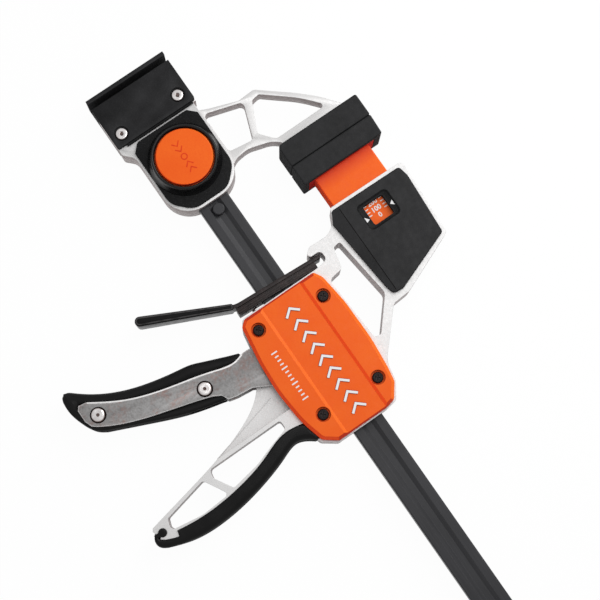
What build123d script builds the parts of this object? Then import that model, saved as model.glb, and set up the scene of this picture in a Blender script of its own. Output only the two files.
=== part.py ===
from build123d import *
import os
from math import cos, radians, sin

# One-handed bar clamp, lying on its side with the jaws closed.
# X runs along the bar from the fixed jaw to the tail, Y from the handles to the jaws and Z up
# through the thickness. The origin lies on the rear face of the orange body, below the middle of
# the bar. Nearly every piece is symmetric about the middle plane at MID_Z, so most thicknesses are
# given as half of the piece's own, and "side" is 1 for the front (up) and -1 for the rear.

# ---------------------------------------------------------------- driving dimensions, mm
GAP = 0.15  # running clearance on each side of a slide
PIN_FIT = 0.05  # radial clearance of a pin or screw in its hole

COVER_HALF = 12.5  # half thickness over both orange covers
MID_Z = COVER_HALF

# Bar
BAR_WIDTH = 18.0
BAR_HALF = 4.0
BAR_EDGE = 0.8
BAR_HEAD_X = -150.0
BAR_LENGTH = 364.0
GROOVE_WIDTH = 8.4
GROOVE_FLOOR = 3.4
GROOVE_DEPTH = 1.5
STOP_PIN_R = 3.3
STOP_PIN_STAND = 2.0  # height of a stop pin above the bar's face
STOP_PIN_EDGE = 0.6
HEAD_STOP_X = -98.2
TAIL_STOP_INSET = 8.0

# Lock of the fixed jaw
BUTTON_X = -129.8
LOCK_PIN_R = 3.0
LOCK_WAIST_R = 1.95
LOCK_STEP = 2.8  # how far the pin's thick end reaches into the bar
BUTTON_TRAVEL = 3.0
BUTTON_R = 15.4
BUTTON_TOP = 16.6  # above the middle plane
BUTTON_WALL = 2.4
BUTTON_FLANGE = 1.0  # how far the button's foot stands out under the collar's lip
BUTTON_EDGE = 0.7
BUTTON_FLOOR_GAP = 0.8  # under the pressed button
BUTTON_SPRING_R = 7.0
BUTTON_SPRING_WIRE = 0.9
BOSS_R = 4.0
BOSS_ROOF = 0.5  # of the button's top over its boss
PIN_ROOF = 1.2  # of the button's top over the lock pin
COLLAR_WALL = 1.65
COLLAR_TOP = 17.0
COLLAR_LIP = 3.3
COLLAR_EDGE = 1.6
COLLAR_FLARE = 1.4  # how far the collar's foot spreads on the plate
COLLAR_FLARE_RISE = 3.4
HEAD_PLATE = 2.0
PLATE_EDGE = 0.5
PLATE_RIMS = (2.3, 1.3, 1.1)  # of bare casting: towards the connector, towards the tail, at the sides
PLATE_CLIPS = (4.5, 9.5)  # cut off each corner: towards the connector, towards the tail
PLATE_ROUNDING = (1.5, 10.0)  # of the clipped corners, in the same order

# Fixed jaw casting
HEAD_HALF = 8.0
HEAD_WIDTH_HALF = 21.4
HEAD_LEFT_X = -154.4
HEAD_RIGHT_X = -103.2
TONGUE_HALF = 6.0
TONGUE_END_X = -174.0
TONGUE_LOW_Y = -26.4
TONGUE_HIGH_Y = 23.4
ARM_HALF = 5.0
HEAD_SCREWS = [(-146.6, 14.6), (-146.6, -14.6), (-112.6, 12.6), (-112.6, -12.6)]
HEAD_SCREW_R = 1.4
HEAD_SCREW_HEAD_R = 2.7
HEAD_SCREW_HEAD = 1.1
HEAD_SCREW_SKIN = 0.7  # of the front plate over the screws' ends
HEAD_SCREW_HEX = 1.25
HEAD_SCREW_HEX_DEPTH = 0.8
SOCKET_DEPTH = 1.0  # room past the bar's end in its socket

# Connector shoe on the head
SHOE_HALF = 9.5
SHOE_BACK = 6.8  # length past the tongue's end
RIDGE = 2.2
CHANNEL = 3.5
CHANNEL_FLOOR = 4.5  # below the middle plane
SHOE_SCREWS = [(-161.6, 16.6), (-160.9, -20.1)]
SHOE_SCREW_R = 3.3
SHOE_POCKET = 1.3
SHOE_POCKET_GAP = 0.8
SHOE_SCREW_DOME = 0.9
SHOE_SCREW_LENGTH = 7.0
SHOE_SCREW_HEX = 1.4
SHOE_SCREW_HEX_DEPTH = 1.0
SHOE_GAP = 0.3  # between the shoe and the head
SHOE_CORNER = 1.5

# Pads
PAD_HALF = 12.2
PAD_FACE_X = -93.6
PAD_SPACE = 0.2  # between the two pads when closed
PAD_LOW_Y = 44.4
PAD_HIGH_Y = 95.6
FIXED_PAD_DEPTH = 13.6
MOVING_PAD_DEPTH = 12.2
PAD_CORNER = 2.6
PAD_BACK_CORNER = 1.2
PAD_EDGE = 0.8
PAD_ROUND = 0.7
PAD_LIP = 1.2  # height of the flange's stepped shoulder, which the fixed pad's pocket clears
FLANGE_LOW_Y = 49.0
FLANGE_HIGH_Y = 88.6
FLANGE_X = -101.8

# Sliding frame
FRAME_HALF = 8.5
WEB_HALF = 4.5  # where the trigger's plates straddle the frame
BODY_LEFT_X = -41.2
BODY_RIGHT_X = 41.2
CAVITY_LEFT_X = -33.0
CAVITY_RIGHT_X = 19.0
CAVITY_LOW_Y = -16.5
CAVITY_HIGH_Y = 13.2

# Jaw housing and force gauge
PLUNGER_LOW_Y = 51.2
PLUNGER_HIGH_Y = 86.4
PLUNGER_HALF = 6.5
PLUNGER_END_X = -36.0
PLUNGER_FLANGE = 3.2
PLUNGER_EDGE = 0.8
FLANGE_SPREAD = 3.4
FLANGE_HALF = 8.8
MOVING_PAD_TAPER = 0.6  # fall of the moving pad's far edge towards its back
HOUSING_LEFT_X = -64.0
HOUSING_WALL = 4.0
HOUSING_SEAT_X = -20.0
GAUGE_COVER = 2.5
WINDOW_X = -48.4
WINDOW_Y = 69.5
WINDOW_SIZE = (12.0, 12.6)
FORCE_SPRING_R = 4.6
FORCE_SPRING_WIRE = 1.6
FORCE_SPRING_INSET = 9.0

# Orange covers
COVER_CHAMFER = 1.7
BAND_HALF_WIDTH = 12.9
BAND_DEPTH = 0.8
COVER_HOLLOW = 1.6
COVER_SCREWS = [(-26.9, 18.4), (-31.2, -20.0), (24.9, 17.4), (24.5, -17.3)]
POCKET_R = 4.0
POCKET_FLOOR = 1.4
SCREW_HEAD_R = 3.0
SCREW_HEAD = 1.9
SCREW_R = 1.5
SCREW_LENGTH = 8.4
SCREW_DOME = 0.7
CROSS_SLOT = (3.4, 0.9)
CROSS_DEPTH = 1.2
POST = 1.2  # wall of the post round a screw's pocket
BAND_SLOPE = 0.8  # half width of the slope at each side of the sunk band

# Trigger
PIVOT = (-4.0, 19.5)
PIVOT_R = 2.5
PIVOT_BOSS_R = 5.0
EYE_R = 6.0
SWING = 16.0  # degrees of squeeze
NECK_LEFT = (-26.4, -30.0)  # edges of the trigger's neck where it enters the body
NECK_RIGHT = (-3.2, -30.4)
PLATE_INNER = 6.7
PLATE_THICK = 2.0
ROLLER = (-7.0, -13.0)
ROLLER_R = 3.0
ROLLER_NECK_R = 1.8
PIN_END = 0.5  # of the pivot and the roller's pin past the trigger's plates
EYE_CLEARANCE = 0.5
TRIGGER_RIVETS = [(-42.4, -114.2), (-22.0, -60.6)]
RIVET_R = 2.0
RIVET_HEAD_R = 3.8
RIVET_HEAD = 1.6
RIVET_DOME = 1.2
GRIP_HALF = 8.0
GRIP_SLOT_HALF = 4.9

# Drive plates
DRIVE_THICK = 2.5
DRIVE_HALF = 6.4
DRIVE_COUNT = 2
DRIVE_GAP = 0.5  # between a plate's ends and the cavity's walls
DRIVE_CORNER = 1.2
DRIVE_SPRING_R = 2.1
DRIVE_SPRING_WIRE = 0.9
DRIVE_SPRING_Y = -12.6

# Release lever and brake plates
LEVER_PIVOT_Y = 29.0
LEVER_THICK = 2.0
LEVER_GAP = 0.15  # between the released lever and the plates
LEVER_HALF = 7.5
LEVER_TILT = 3.2  # degrees from square to the bar
LEVER_BEND_Y = -22.5
LEVER_BEND_R = 14.0
LEVER_END = (-71.3, -68.8)
SLEEVE_HALF = 8.4
SLEEVE_THICK = 5.6
SLEEVE_SHARE = 0.12  # of the lever's straight run that stays bare
BRAKE_GAP = 0.2  # between the body's end and the first plate's top
BRAKE_THICK = 1.2
BRAKE_COUNT = 3
BRAKE_LOW_Y = -23.2
BRAKE_HIGH_Y = 25.6
BRAKE_TILT = 3.0
BRAKE_HALF = 7.2
BRAKE_SPRING_R = 2.5
BRAKE_SPRING_WIRE = 1.0
BRAKE_SPRING_Y = -13.3
BRAKE_SPRING_SEAT = 5.0

# Handle grip
GRIP_RIM = 1.0  # how far the handle's grip stands above the frame's faces

# ---------------------------------------------------------------- derived places
MID = Plane.XY.offset(MID_Z)
BAR_TAIL_X = BAR_HEAD_X + BAR_LENGTH
COLLAR_R = BUTTON_R + BUTTON_FLANGE + GAP + COLLAR_WALL
PLATE_OUTER = PLATE_INNER + PLATE_THICK
LEVER_PIVOT = (
    BODY_LEFT_X - BRAKE_GAP - BRAKE_COUNT * BRAKE_THICK - LEVER_GAP - LEVER_THICK / 2,
    LEVER_PIVOT_Y,
)
NOTCH_X = LEVER_PIVOT[0] - LEVER_THICK / 2 - 1.0  # far wall of the notch round the lever's top

os.makedirs("parts", exist_ok=True)


# ---------------------------------------------------------------- helpers
def rounded(points, radii, mode=Mode.ADD):
    """Fill the closed outline through the points, with each corner rounded by its radius."""
    with BuildLine() as outline:
        FilletPolyline(*points, radius=radii, close=True)
    make_face(outline.edges(), mode=mode)


def level(side, half):
    """The plane at this distance above or below the middle plane."""
    return Plane.XY.offset(MID_Z + side * half)


def turned(point, degrees, about):
    """A point of the XY plane turned about another, counterclockwise."""
    dx, dy = point[0] - about[0], point[1] - about[1]
    c, s = cos(radians(degrees)), sin(radians(degrees))
    return (about[0] + dx * c - dy * s, about[1] + dx * s + dy * c)


def save(piece, name):
    """Label a finished piece and write it to its own file."""
    piece.part.label = name
    export_step(piece.part, f"parts/{name}.step")


def coil(start, direction, length, radius, wire, turns):
    """A round-wire compression spring between two seats, its wire inside both."""
    way = Vector(*direction)
    first = Vector(*start) + way * (wire / 2)
    height = length - wire
    with BuildPart() as spring:
        with BuildLine() as path:
            Helix(pitch=height / turns, height=height, radius=radius, center=first, direction=way)
        with BuildSketch(Plane(origin=path.line @ 0, z_dir=path.line % 0)):
            Circle(wire / 2)
        sweep(path=path.line, is_frenet=True)
    return spring


def bar_hole(clearance):
    """The bar's section with a clearance all round, in a sketch across X."""
    with Locations((0, MID_Z)):
        Rectangle(BAR_WIDTH + 2 * clearance, 2 * (BAR_HALF + clearance))


# ---------------------------------------------------------------- bar and its stop pins
with BuildPart() as bar:
    with BuildSketch(Plane.YZ.offset(BAR_HEAD_X)):
        with Locations((0, MID_Z)):
            RectangleRounded(BAR_WIDTH, 2 * BAR_HALF, BAR_EDGE)
        for side in (1, -1):
            face = MID_Z + side * BAR_HALF
            floor = face - side * GROOVE_DEPTH
            with BuildLine() as groove:
                Polyline(
                    (-GROOVE_WIDTH / 2, face),
                    (GROOVE_WIDTH / 2, face),
                    (GROOVE_FLOOR / 2, floor),
                    (-GROOVE_FLOOR / 2, floor),
                    close=True,
                )
            make_face(groove.edges(), mode=Mode.SUBTRACT)
    extrude(amount=BAR_LENGTH)
    # The lock hole, open to the head end through a narrower key slot
    with BuildSketch(MID):
        with Locations((BUTTON_X, 0)):
            Circle(LOCK_PIN_R + PIN_FIT)
        with Locations(((BAR_HEAD_X + BUTTON_X) / 2, 0)):
            Rectangle(BUTTON_X - BAR_HEAD_X, 2 * (LOCK_WAIST_R + GAP))
        with Locations((HEAD_STOP_X, 0), (BAR_TAIL_X - TAIL_STOP_INSET, 0)):
            Circle(STOP_PIN_R + PIN_FIT)
    extrude(amount=BAR_HALF, both=True, mode=Mode.SUBTRACT)
save(bar, "bar")

with BuildPart() as stop_pins:
    with BuildSketch(MID):
        with Locations((HEAD_STOP_X, 0), (BAR_TAIL_X - TAIL_STOP_INSET, 0)):
            Circle(STOP_PIN_R)
    extrude(amount=BAR_HALF + STOP_PIN_STAND, both=True)
    ends = stop_pins.faces().filter_by(Axis.Z).edges()
    fillet(ends, STOP_PIN_EDGE)
save(stop_pins, "stop_pins")

# ---------------------------------------------------------------- fixed jaw casting
BLOCK = [
    (HEAD_LEFT_X, TONGUE_LOW_Y),
    (HEAD_LEFT_X + 3.5, TONGUE_LOW_Y),
    (HEAD_LEFT_X + 8.5, -HEAD_WIDTH_HALF),
    (HEAD_RIGHT_X, -HEAD_WIDTH_HALF),
    (HEAD_RIGHT_X, HEAD_WIDTH_HALF),
    (HEAD_LEFT_X, HEAD_WIDTH_HALF),
]
BLOCK_RADII = [0.5, 2.5, 6.0, 16.0, 16.0, 1.0]
ARM = [
    (-149.0, 12.0),
    (-149.6, 20.8),
    (-147.0, 26.5),
    (-141.4, 42.5),
    (-142.0, 52.6),
    (-127.4, 70.6),
    (-118.6, 80.0),
    (FLANGE_X - 4.6, FLANGE_HIGH_Y + PAD_LIP - 0.2),
    (FLANGE_X - 4.6, FLANGE_HIGH_Y),
    (FLANGE_X, FLANGE_HIGH_Y),
    (FLANGE_X, FLANGE_LOW_Y),
    (FLANGE_X - 6.8, FLANGE_LOW_Y),
    (-112.6, 44.4),
    (-116.4, 31.5),
    (-115.6, 23.5),
    (-110.6, 15.5),
    (-110.0, 0.0),
]
ARM_RADII = [0, 4, 6, 4, 3.5, 60, 80, 0, 0, 0.5, 0.5, 3, 14, 14, 10, 6, 0]
WINDOW_1 = [(-145.9, 22.2), (-139.3, 44.2), (-119.0, 36.6), (-121.0, 22.2)]
WINDOW_1_RADII = [2.2, 2.6, 2.2, 2.4]
WINDOW_2 = [(-137.4, 48.6), (-138.2, 53.4), (-124.0, 70.6), (-112.6, 80.4), (-112.4, 47.4), (-120.6, 40.6)]
WINDOW_2_RADII = [2.0, 2.4, 60, 1.6, 4.0, 2.4]

with BuildPart() as fixed_jaw:
    with BuildSketch(MID):
        rounded(BLOCK, BLOCK_RADII)
    extrude(amount=HEAD_HALF, both=True)
    with BuildSketch(MID):
        rounded(ARM, ARM_RADII)
        rounded(WINDOW_1, WINDOW_1_RADII, Mode.SUBTRACT)
        rounded(WINDOW_2, WINDOW_2_RADII, Mode.SUBTRACT)
    extrude(amount=ARM_HALF, both=True)
    # Tongue that carries the connector shoe
    with BuildSketch(MID):
        with Locations((HEAD_LEFT_X, TONGUE_LOW_Y)):
            Rectangle(
                HEAD_LEFT_X - TONGUE_END_X,
                TONGUE_HIGH_Y - TONGUE_LOW_Y,
                align=(Align.MAX, Align.MIN),
            )
    extrude(amount=TONGUE_HALF, both=True)
    # Socket for the bar
    with BuildSketch(Plane.YZ.offset(BAR_HEAD_X - SOCKET_DEPTH)):
        bar_hole(GAP)
    extrude(amount=HEAD_RIGHT_X - BAR_HEAD_X + 2 * SOCKET_DEPTH, mode=Mode.SUBTRACT)
    # The lock pin's waist runs in the front wall and its thick end in the rear wall
    with Locations((BUTTON_X, 0, MID_Z)):
        Cylinder(LOCK_WAIST_R + PIN_FIT, HEAD_HALF, align=(Align.CENTER, Align.CENTER, Align.MIN),
                 mode=Mode.SUBTRACT)
        Cylinder(LOCK_PIN_R + PIN_FIT, HEAD_HALF, align=(Align.CENTER, Align.CENTER, Align.MAX),
                 mode=Mode.SUBTRACT)
    with BuildSketch(level(-1, HEAD_HALF)):
        with Locations(*HEAD_SCREWS):
            Circle(HEAD_SCREW_R + PIN_FIT)
        with Locations(*SHOE_SCREWS):
            Circle(SCREW_R + PIN_FIT)
    extrude(amount=2 * HEAD_HALF, mode=Mode.SUBTRACT)
save(fixed_jaw, "fixed_jaw")

# ---------------------------------------------------------------- head plates, collar and their screws
PLATE_LEFT_X = HEAD_LEFT_X + PLATE_RIMS[0]
PLATE_RIGHT_X = HEAD_RIGHT_X - PLATE_RIMS[1]
PLATE_HALF_Y = HEAD_WIDTH_HALF - PLATE_RIMS[2]
LEFT_CLIP, RIGHT_CLIP = PLATE_CLIPS
PLATE_OUTLINE = [
    (PLATE_LEFT_X + LEFT_CLIP, -PLATE_HALF_Y),
    (PLATE_RIGHT_X - RIGHT_CLIP, -PLATE_HALF_Y),
    (PLATE_RIGHT_X, -PLATE_HALF_Y + RIGHT_CLIP),
    (PLATE_RIGHT_X, PLATE_HALF_Y - RIGHT_CLIP),
    (PLATE_RIGHT_X - RIGHT_CLIP, PLATE_HALF_Y),
    (PLATE_LEFT_X + LEFT_CLIP, PLATE_HALF_Y),
    (PLATE_LEFT_X, PLATE_HALF_Y - LEFT_CLIP),
    (PLATE_LEFT_X, -PLATE_HALF_Y + LEFT_CLIP),
]
LEFT_ROUNDING, RIGHT_ROUNDING = PLATE_ROUNDING
PLATE_RADII = [LEFT_ROUNDING] + 4 * [RIGHT_ROUNDING] + 3 * [LEFT_ROUNDING]

with BuildPart() as head_cover:
    with BuildSketch(level(1, HEAD_HALF)):
        rounded(PLATE_OUTLINE, PLATE_RADII)
    extrude(amount=HEAD_PLATE)
    chamfer(head_cover.faces().sort_by(Axis.Z)[-1].edges(), PLATE_EDGE)
    with BuildSketch(level(1, HEAD_HALF)):
        with Locations((BUTTON_X, 0)):
            Circle(COLLAR_R)
    extrude(amount=COLLAR_TOP - HEAD_HALF)
    fillet(head_cover.faces().sort_by(Axis.Z)[-1].edges(), COLLAR_EDGE)
    with Locations((BUTTON_X, 0, MID_Z + HEAD_HALF + HEAD_PLATE)):
        Cone(COLLAR_R + COLLAR_FLARE, COLLAR_R, COLLAR_FLARE_RISE,
             align=(Align.CENTER, Align.CENTER, Align.MIN))
    with Locations((BUTTON_X, 0, MID_Z + HEAD_HALF)):
        Cylinder(BUTTON_R + BUTTON_FLANGE + GAP, COLLAR_TOP - HEAD_HALF - COLLAR_LIP,
                 align=(Align.CENTER, Align.CENTER, Align.MIN), mode=Mode.SUBTRACT)
        Cylinder(BUTTON_R + GAP, COLLAR_TOP - HEAD_HALF,
                 align=(Align.CENTER, Align.CENTER, Align.MIN), mode=Mode.SUBTRACT)
    with BuildSketch(level(1, HEAD_HALF)):
        with Locations(*HEAD_SCREWS):
            Circle(HEAD_SCREW_R)
    extrude(amount=HEAD_PLATE - HEAD_SCREW_SKIN, mode=Mode.SUBTRACT)
save(head_cover, "head_cover")

with BuildPart() as head_back_cover:
    with BuildSketch(level(-1, HEAD_HALF)):
        rounded(PLATE_OUTLINE, PLATE_RADII)
    extrude(amount=-HEAD_PLATE)
    chamfer(head_back_cover.faces().sort_by(Axis.Z)[0].edges(), PLATE_EDGE)
    with BuildSketch(level(-1, HEAD_HALF + HEAD_PLATE)):
        with Locations(*HEAD_SCREWS):
            Circle(HEAD_SCREW_HEAD_R + PIN_FIT)
    extrude(amount=HEAD_SCREW_HEAD, mode=Mode.SUBTRACT)
    with BuildSketch(level(-1, HEAD_HALF + HEAD_PLATE)):
        with Locations(*HEAD_SCREWS):
            Circle(HEAD_SCREW_R + PIN_FIT)
    extrude(amount=HEAD_PLATE, mode=Mode.SUBTRACT)
save(head_back_cover, "head_back_cover")

with BuildPart() as head_cover_screws:
    with BuildSketch(level(-1, HEAD_HALF + HEAD_PLATE)):
        with Locations(*HEAD_SCREWS):
            Circle(HEAD_SCREW_HEAD_R)
    extrude(amount=HEAD_SCREW_HEAD)
    with BuildSketch(level(-1, HEAD_HALF + HEAD_PLATE)):
        with Locations(*HEAD_SCREWS):
            Circle(HEAD_SCREW_R)
    extrude(amount=2 * HEAD_HALF + 2 * HEAD_PLATE - HEAD_SCREW_SKIN - PIN_FIT)
    with BuildSketch(level(-1, HEAD_HALF + HEAD_PLATE)):
        with Locations(*HEAD_SCREWS):
            RegularPolygon(HEAD_SCREW_HEX, 6)
    extrude(amount=HEAD_SCREW_HEX_DEPTH, mode=Mode.SUBTRACT)
save(head_cover_screws, "head_cover_screws")

# ---------------------------------------------------------------- release button, lock pin, spring
FLANGE_TOP = COLLAR_TOP - COLLAR_LIP - GAP
BUTTON_FOOT = HEAD_HALF + BUTTON_TRAVEL + BUTTON_FLOOR_GAP
PIN_TOP = BUTTON_TOP - PIN_ROOF
with BuildPart() as release_button:
    with Locations((BUTTON_X, 0, MID_Z + BUTTON_FOOT)):
        Cylinder(BUTTON_R, BUTTON_TOP - BUTTON_FOOT, align=(Align.CENTER, Align.CENTER, Align.MIN))
    fillet(release_button.faces().sort_by(Axis.Z)[-1].edges(), BUTTON_EDGE)
    with Locations((BUTTON_X, 0, MID_Z + BUTTON_FOOT)):
        Cylinder(BUTTON_R + BUTTON_FLANGE, FLANGE_TOP - BUTTON_FOOT,
                 align=(Align.CENTER, Align.CENTER, Align.MIN))
        Cylinder(BUTTON_R - BUTTON_WALL, BUTTON_TOP - BUTTON_WALL - BUTTON_FOOT,
                 align=(Align.CENTER, Align.CENTER, Align.MIN), mode=Mode.SUBTRACT)
        Cylinder(BOSS_R, BUTTON_TOP - BOSS_ROOF - BUTTON_FOOT, align=(Align.CENTER, Align.CENTER, Align.MIN))
        Cylinder(LOCK_WAIST_R, PIN_TOP - BUTTON_FOOT, align=(Align.CENTER, Align.CENTER, Align.MIN),
                 mode=Mode.SUBTRACT)
save(release_button, "release_button")

LOCK_PIN_LOW = HEAD_HALF - BUTTON_TRAVEL
with BuildPart() as lock_pin:
    with Locations((BUTTON_X, 0, MID_Z - LOCK_PIN_LOW)):
        Cylinder(LOCK_PIN_R, LOCK_PIN_LOW - BAR_HALF + LOCK_STEP,
                 align=(Align.CENTER, Align.CENTER, Align.MIN))
        Cylinder(LOCK_WAIST_R, LOCK_PIN_LOW + PIN_TOP, align=(Align.CENTER, Align.CENTER, Align.MIN))
save(lock_pin, "lock_pin")

button_spring = coil(
    (BUTTON_X, 0, MID_Z + HEAD_HALF),
    (0, 0, 1),
    BUTTON_TOP - BUTTON_WALL - HEAD_HALF,
    BUTTON_SPRING_R,
    BUTTON_SPRING_WIRE,
    3,
)
save(button_spring, "button_spring")

# ---------------------------------------------------------------- connector shoe and its screws
SHOE_TAIL_X = HEAD_LEFT_X - SHOE_GAP
SHOE_END_X = TONGUE_END_X - SHOE_BACK
with BuildPart() as connector:
    with BuildSketch(Plane.XZ.offset(-TONGUE_HIGH_Y)):
        with BuildLine() as shoe:
            Polyline(
                (SHOE_TAIL_X, MID_Z + SHOE_HALF),
                (SHOE_END_X, MID_Z + SHOE_HALF),
                (SHOE_END_X, MID_Z - CHANNEL_FLOOR),
                (SHOE_END_X - CHANNEL, MID_Z - CHANNEL_FLOOR),
                (SHOE_END_X - CHANNEL, MID_Z + SHOE_HALF),
                (SHOE_END_X - CHANNEL - RIDGE, MID_Z + SHOE_HALF),
                (SHOE_END_X - CHANNEL - RIDGE, MID_Z - SHOE_HALF),
                (SHOE_TAIL_X, MID_Z - SHOE_HALF),
                (SHOE_TAIL_X, MID_Z - TONGUE_HALF),
                (TONGUE_END_X, MID_Z - TONGUE_HALF),
                (TONGUE_END_X, MID_Z + TONGUE_HALF),
                (SHOE_TAIL_X, MID_Z + TONGUE_HALF),
                close=True,
            )
        make_face(shoe.edges())
    extrude(amount=TONGUE_HIGH_Y - TONGUE_LOW_Y)
    corners = connector.edges().filter_by(Axis.Z).group_by(Axis.X)[-1]
    fillet(corners, SHOE_CORNER)
    for side in (1, -1):
        with BuildSketch(level(side, SHOE_HALF)):
            with Locations(*SHOE_SCREWS):
                Circle(SHOE_SCREW_R + SHOE_POCKET_GAP)
        extrude(amount=-side * SHOE_POCKET, mode=Mode.SUBTRACT)
    with BuildSketch(level(-1, SHOE_HALF)):
        with Locations(*SHOE_SCREWS):
            Circle(SCREW_R + PIN_FIT)
    extrude(amount=2 * SHOE_HALF, mode=Mode.SUBTRACT)
save(connector, "connector")

with BuildPart() as connector_screws:
    for side in (1, -1):
        with BuildSketch(level(side, SHOE_HALF - SHOE_POCKET)):
            with Locations(*SHOE_SCREWS):
                Circle(SHOE_SCREW_R)
        extrude(amount=side * SHOE_POCKET)
        with BuildSketch(level(side, SHOE_HALF - SHOE_POCKET)):
            with Locations(*SHOE_SCREWS):
                Circle(SCREW_R)
        extrude(amount=-side * SHOE_SCREW_LENGTH)
    rims = connector_screws.edges().filter_by(GeomType.CIRCLE).group_by(Axis.Z)
    fillet(rims[0] + rims[-1], SHOE_SCREW_DOME)
    for side in (1, -1):
        with BuildSketch(level(side, SHOE_HALF)):
            with Locations(*SHOE_SCREWS):
                RegularPolygon(SHOE_SCREW_HEX, 6)
        extrude(amount=-side * SHOE_SCREW_HEX_DEPTH, mode=Mode.SUBTRACT)
save(connector_screws, "connector_screws")

# ---------------------------------------------------------------- fixed pad
with BuildPart() as fixed_pad:
    with BuildSketch(MID):
        rounded(
            [
                (PAD_FACE_X - PAD_SPACE / 2, PAD_LOW_Y),
                (PAD_FACE_X - PAD_SPACE / 2, PAD_HIGH_Y),
                (PAD_FACE_X - FIXED_PAD_DEPTH, PAD_HIGH_Y),
                (PAD_FACE_X - FIXED_PAD_DEPTH, PAD_LOW_Y),
            ],
            [PAD_EDGE, PAD_EDGE, PAD_BACK_CORNER, PAD_CORNER],
        )
    extrude(amount=PAD_HALF, both=True)
    fillet(fixed_pad.faces().filter_by(Axis.Z).edges(), PAD_ROUND)
    # Pocket that slips over the flange at the end of the arm
    with BuildSketch(MID):
        with Locations((FLANGE_X, FLANGE_LOW_Y - GAP)):
            Rectangle(
                FIXED_PAD_DEPTH,
                FLANGE_HIGH_Y - FLANGE_LOW_Y + 2 * GAP + PAD_LIP,
                align=(Align.MAX, Align.MIN),
            )
    extrude(amount=ARM_HALF + GAP, both=True, mode=Mode.SUBTRACT)
save(fixed_pad, "fixed_pad")

# ---------------------------------------------------------------- sliding frame casting
STRUT_END = (20.5, 26.6)
HANDLE_OUTER = [(30.0, -28.0), (25.4, -40.0), (29.9, -56.0), (36.7, -85.0), (35.8, -107.0), (33.4, -116.0)]
HANDLE_INNER = [(22.6, -123.6), (20.7, -114.9), (14.4, -85.2), (6.2, -57.9), (-1.7, -43.4), (-14.0, -34.0)]
BEAD = (27.3, -120.6)  # bead of the rubber grip that locks in the handle's tip
BEAD_R = 2.3
BEAD_NECK_HALF = 1.2
HANDLE_TIP = [(31.2, -121.2), (29.6, -123.4)]
TIP_NOTCH = [
    (BEAD[0] + BEAD_NECK_HALF, BEAD[1] - BEAD_R + 0.3),
    (BEAD[0] + BEAD_NECK_HALF, BEAD[1]),
    (BEAD[0] - BEAD_NECK_HALF, BEAD[1]),
    (BEAD[0] - BEAD_NECK_HALF, BEAD[1] - BEAD_R - 0.9),
]
HANDLE_HEEL = (24.2, -124.6)
FRAME_TOP = [
    (-14.0, -34.0),
    (-21.0, -29.6),
    (-35.6, -27.2),
    (BODY_LEFT_X, -23.6),
    (BODY_LEFT_X, 25.8),
    (-42.4, 31.6),
    (NOTCH_X, 31.6),
    (NOTCH_X, 25.6),
    (-49.8, 23.6),
    (-53.0, 27.6),
    (-52.6, 39.4),
    (-56.4, 45.4),
    (HOUSING_LEFT_X, 49.0),
    (-63.4, 95.4),
    (-18.0, 92.8),
    (-3.4, 58.0),
    (-2.6, 47.4),
    STRUT_END,
    (31.6, 24.6),
    (40.2, 18.6),
    (BODY_RIGHT_X, 12.6),
    (BODY_RIGHT_X, -18.4),
    (35.8, -26.0),
    HANDLE_OUTER[0],
]
FRAME_RADII = [3, 3, 3, 1.5, 2.4, 2.4, 0.6, 1.6, 1.8, 8, 8, 1.8, 3, 2.5, 5, 4, 14, 8, 3, 3, 2, 3]
STRUT_SLOT = [
    (-46.2, 42.6),
    (-10.0, 46.9),
    (6.9, 32.4),
    (6.3, 28.7),
    (-32.2, 26.4),
    (-33.6, 35.5),
    (-45.4, 38.3),
]
STRUT_SLOT_RADII = [1.2, 4.0, 1.6, 1.4, 2.8, 2.6, 1.2]
HANDLE_WINDOW_A = [
    (14.1, -37.6),
    (19.2, -37.4),
    (22.4, -48.5),
    (26.4, -60.4),
    (29.3, -77.0),
    (18.8, -83.2),
    (14.4, -82.4),
]
WINDOW_A_RADII = [1.4, 2.0, 14.0, 30.0, 1.6, 2.2, 2.2]
HANDLE_WINDOW_B = [(17.0, -88.6), (30.4, -81.0), (31.6, -98.0), (28.8, -116.6), (22.8, -114.4)]
WINDOW_B_RADII = [1.6, 1.6, 24.0, 2.4, 1.6]
LEDGE_X = 12.0
SWING_RECESS = [(-60.0, -27.0), (LEDGE_X, -27.0), (LEDGE_X, -79.0), (6.0, -84.0), (-60.0, -84.0)]
SWING_RECESS_RADII = [0, 0, 3.0, 2.0, 0]
POCKET_LEFT_X = NECK_LEFT[0] - 1.4
POCKET_RIGHT_X = turned(NECK_RIGHT, SWING, PIVOT)[0] + 1.1
TRIGGER_POCKET = [
    (POCKET_LEFT_X - 2.2, -40.0),
    (POCKET_LEFT_X, -29.6),
    (PIVOT[0] - EYE_R - 1.2, PIVOT[1]),
    (PIVOT[0] + EYE_R + 0.6, PIVOT[1]),
    (POCKET_RIGHT_X, -29.6),
    (POCKET_RIGHT_X, -40.0),
]
TRIGGER_POCKET_RADII = [0, 2, 0, 0, 2, 0]
BRAKE_SEAT_X = BODY_LEFT_X + BRAKE_SPRING_SEAT


def frame_outline():
    """The casting's outline: jaw housing, hook, struts, body and fixed handle."""
    with BuildLine() as outline:
        FilletPolyline(*FRAME_TOP, radius=FRAME_RADII)
        Spline(*HANDLE_OUTER)
        Polyline(HANDLE_OUTER[-1], *HANDLE_TIP, *TIP_NOTCH, HANDLE_HEEL, HANDLE_INNER[0])
        Spline(*HANDLE_INNER)
    make_face(outline.edges())
    with Locations(BEAD):
        Circle(BEAD_R, mode=Mode.SUBTRACT)


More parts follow.
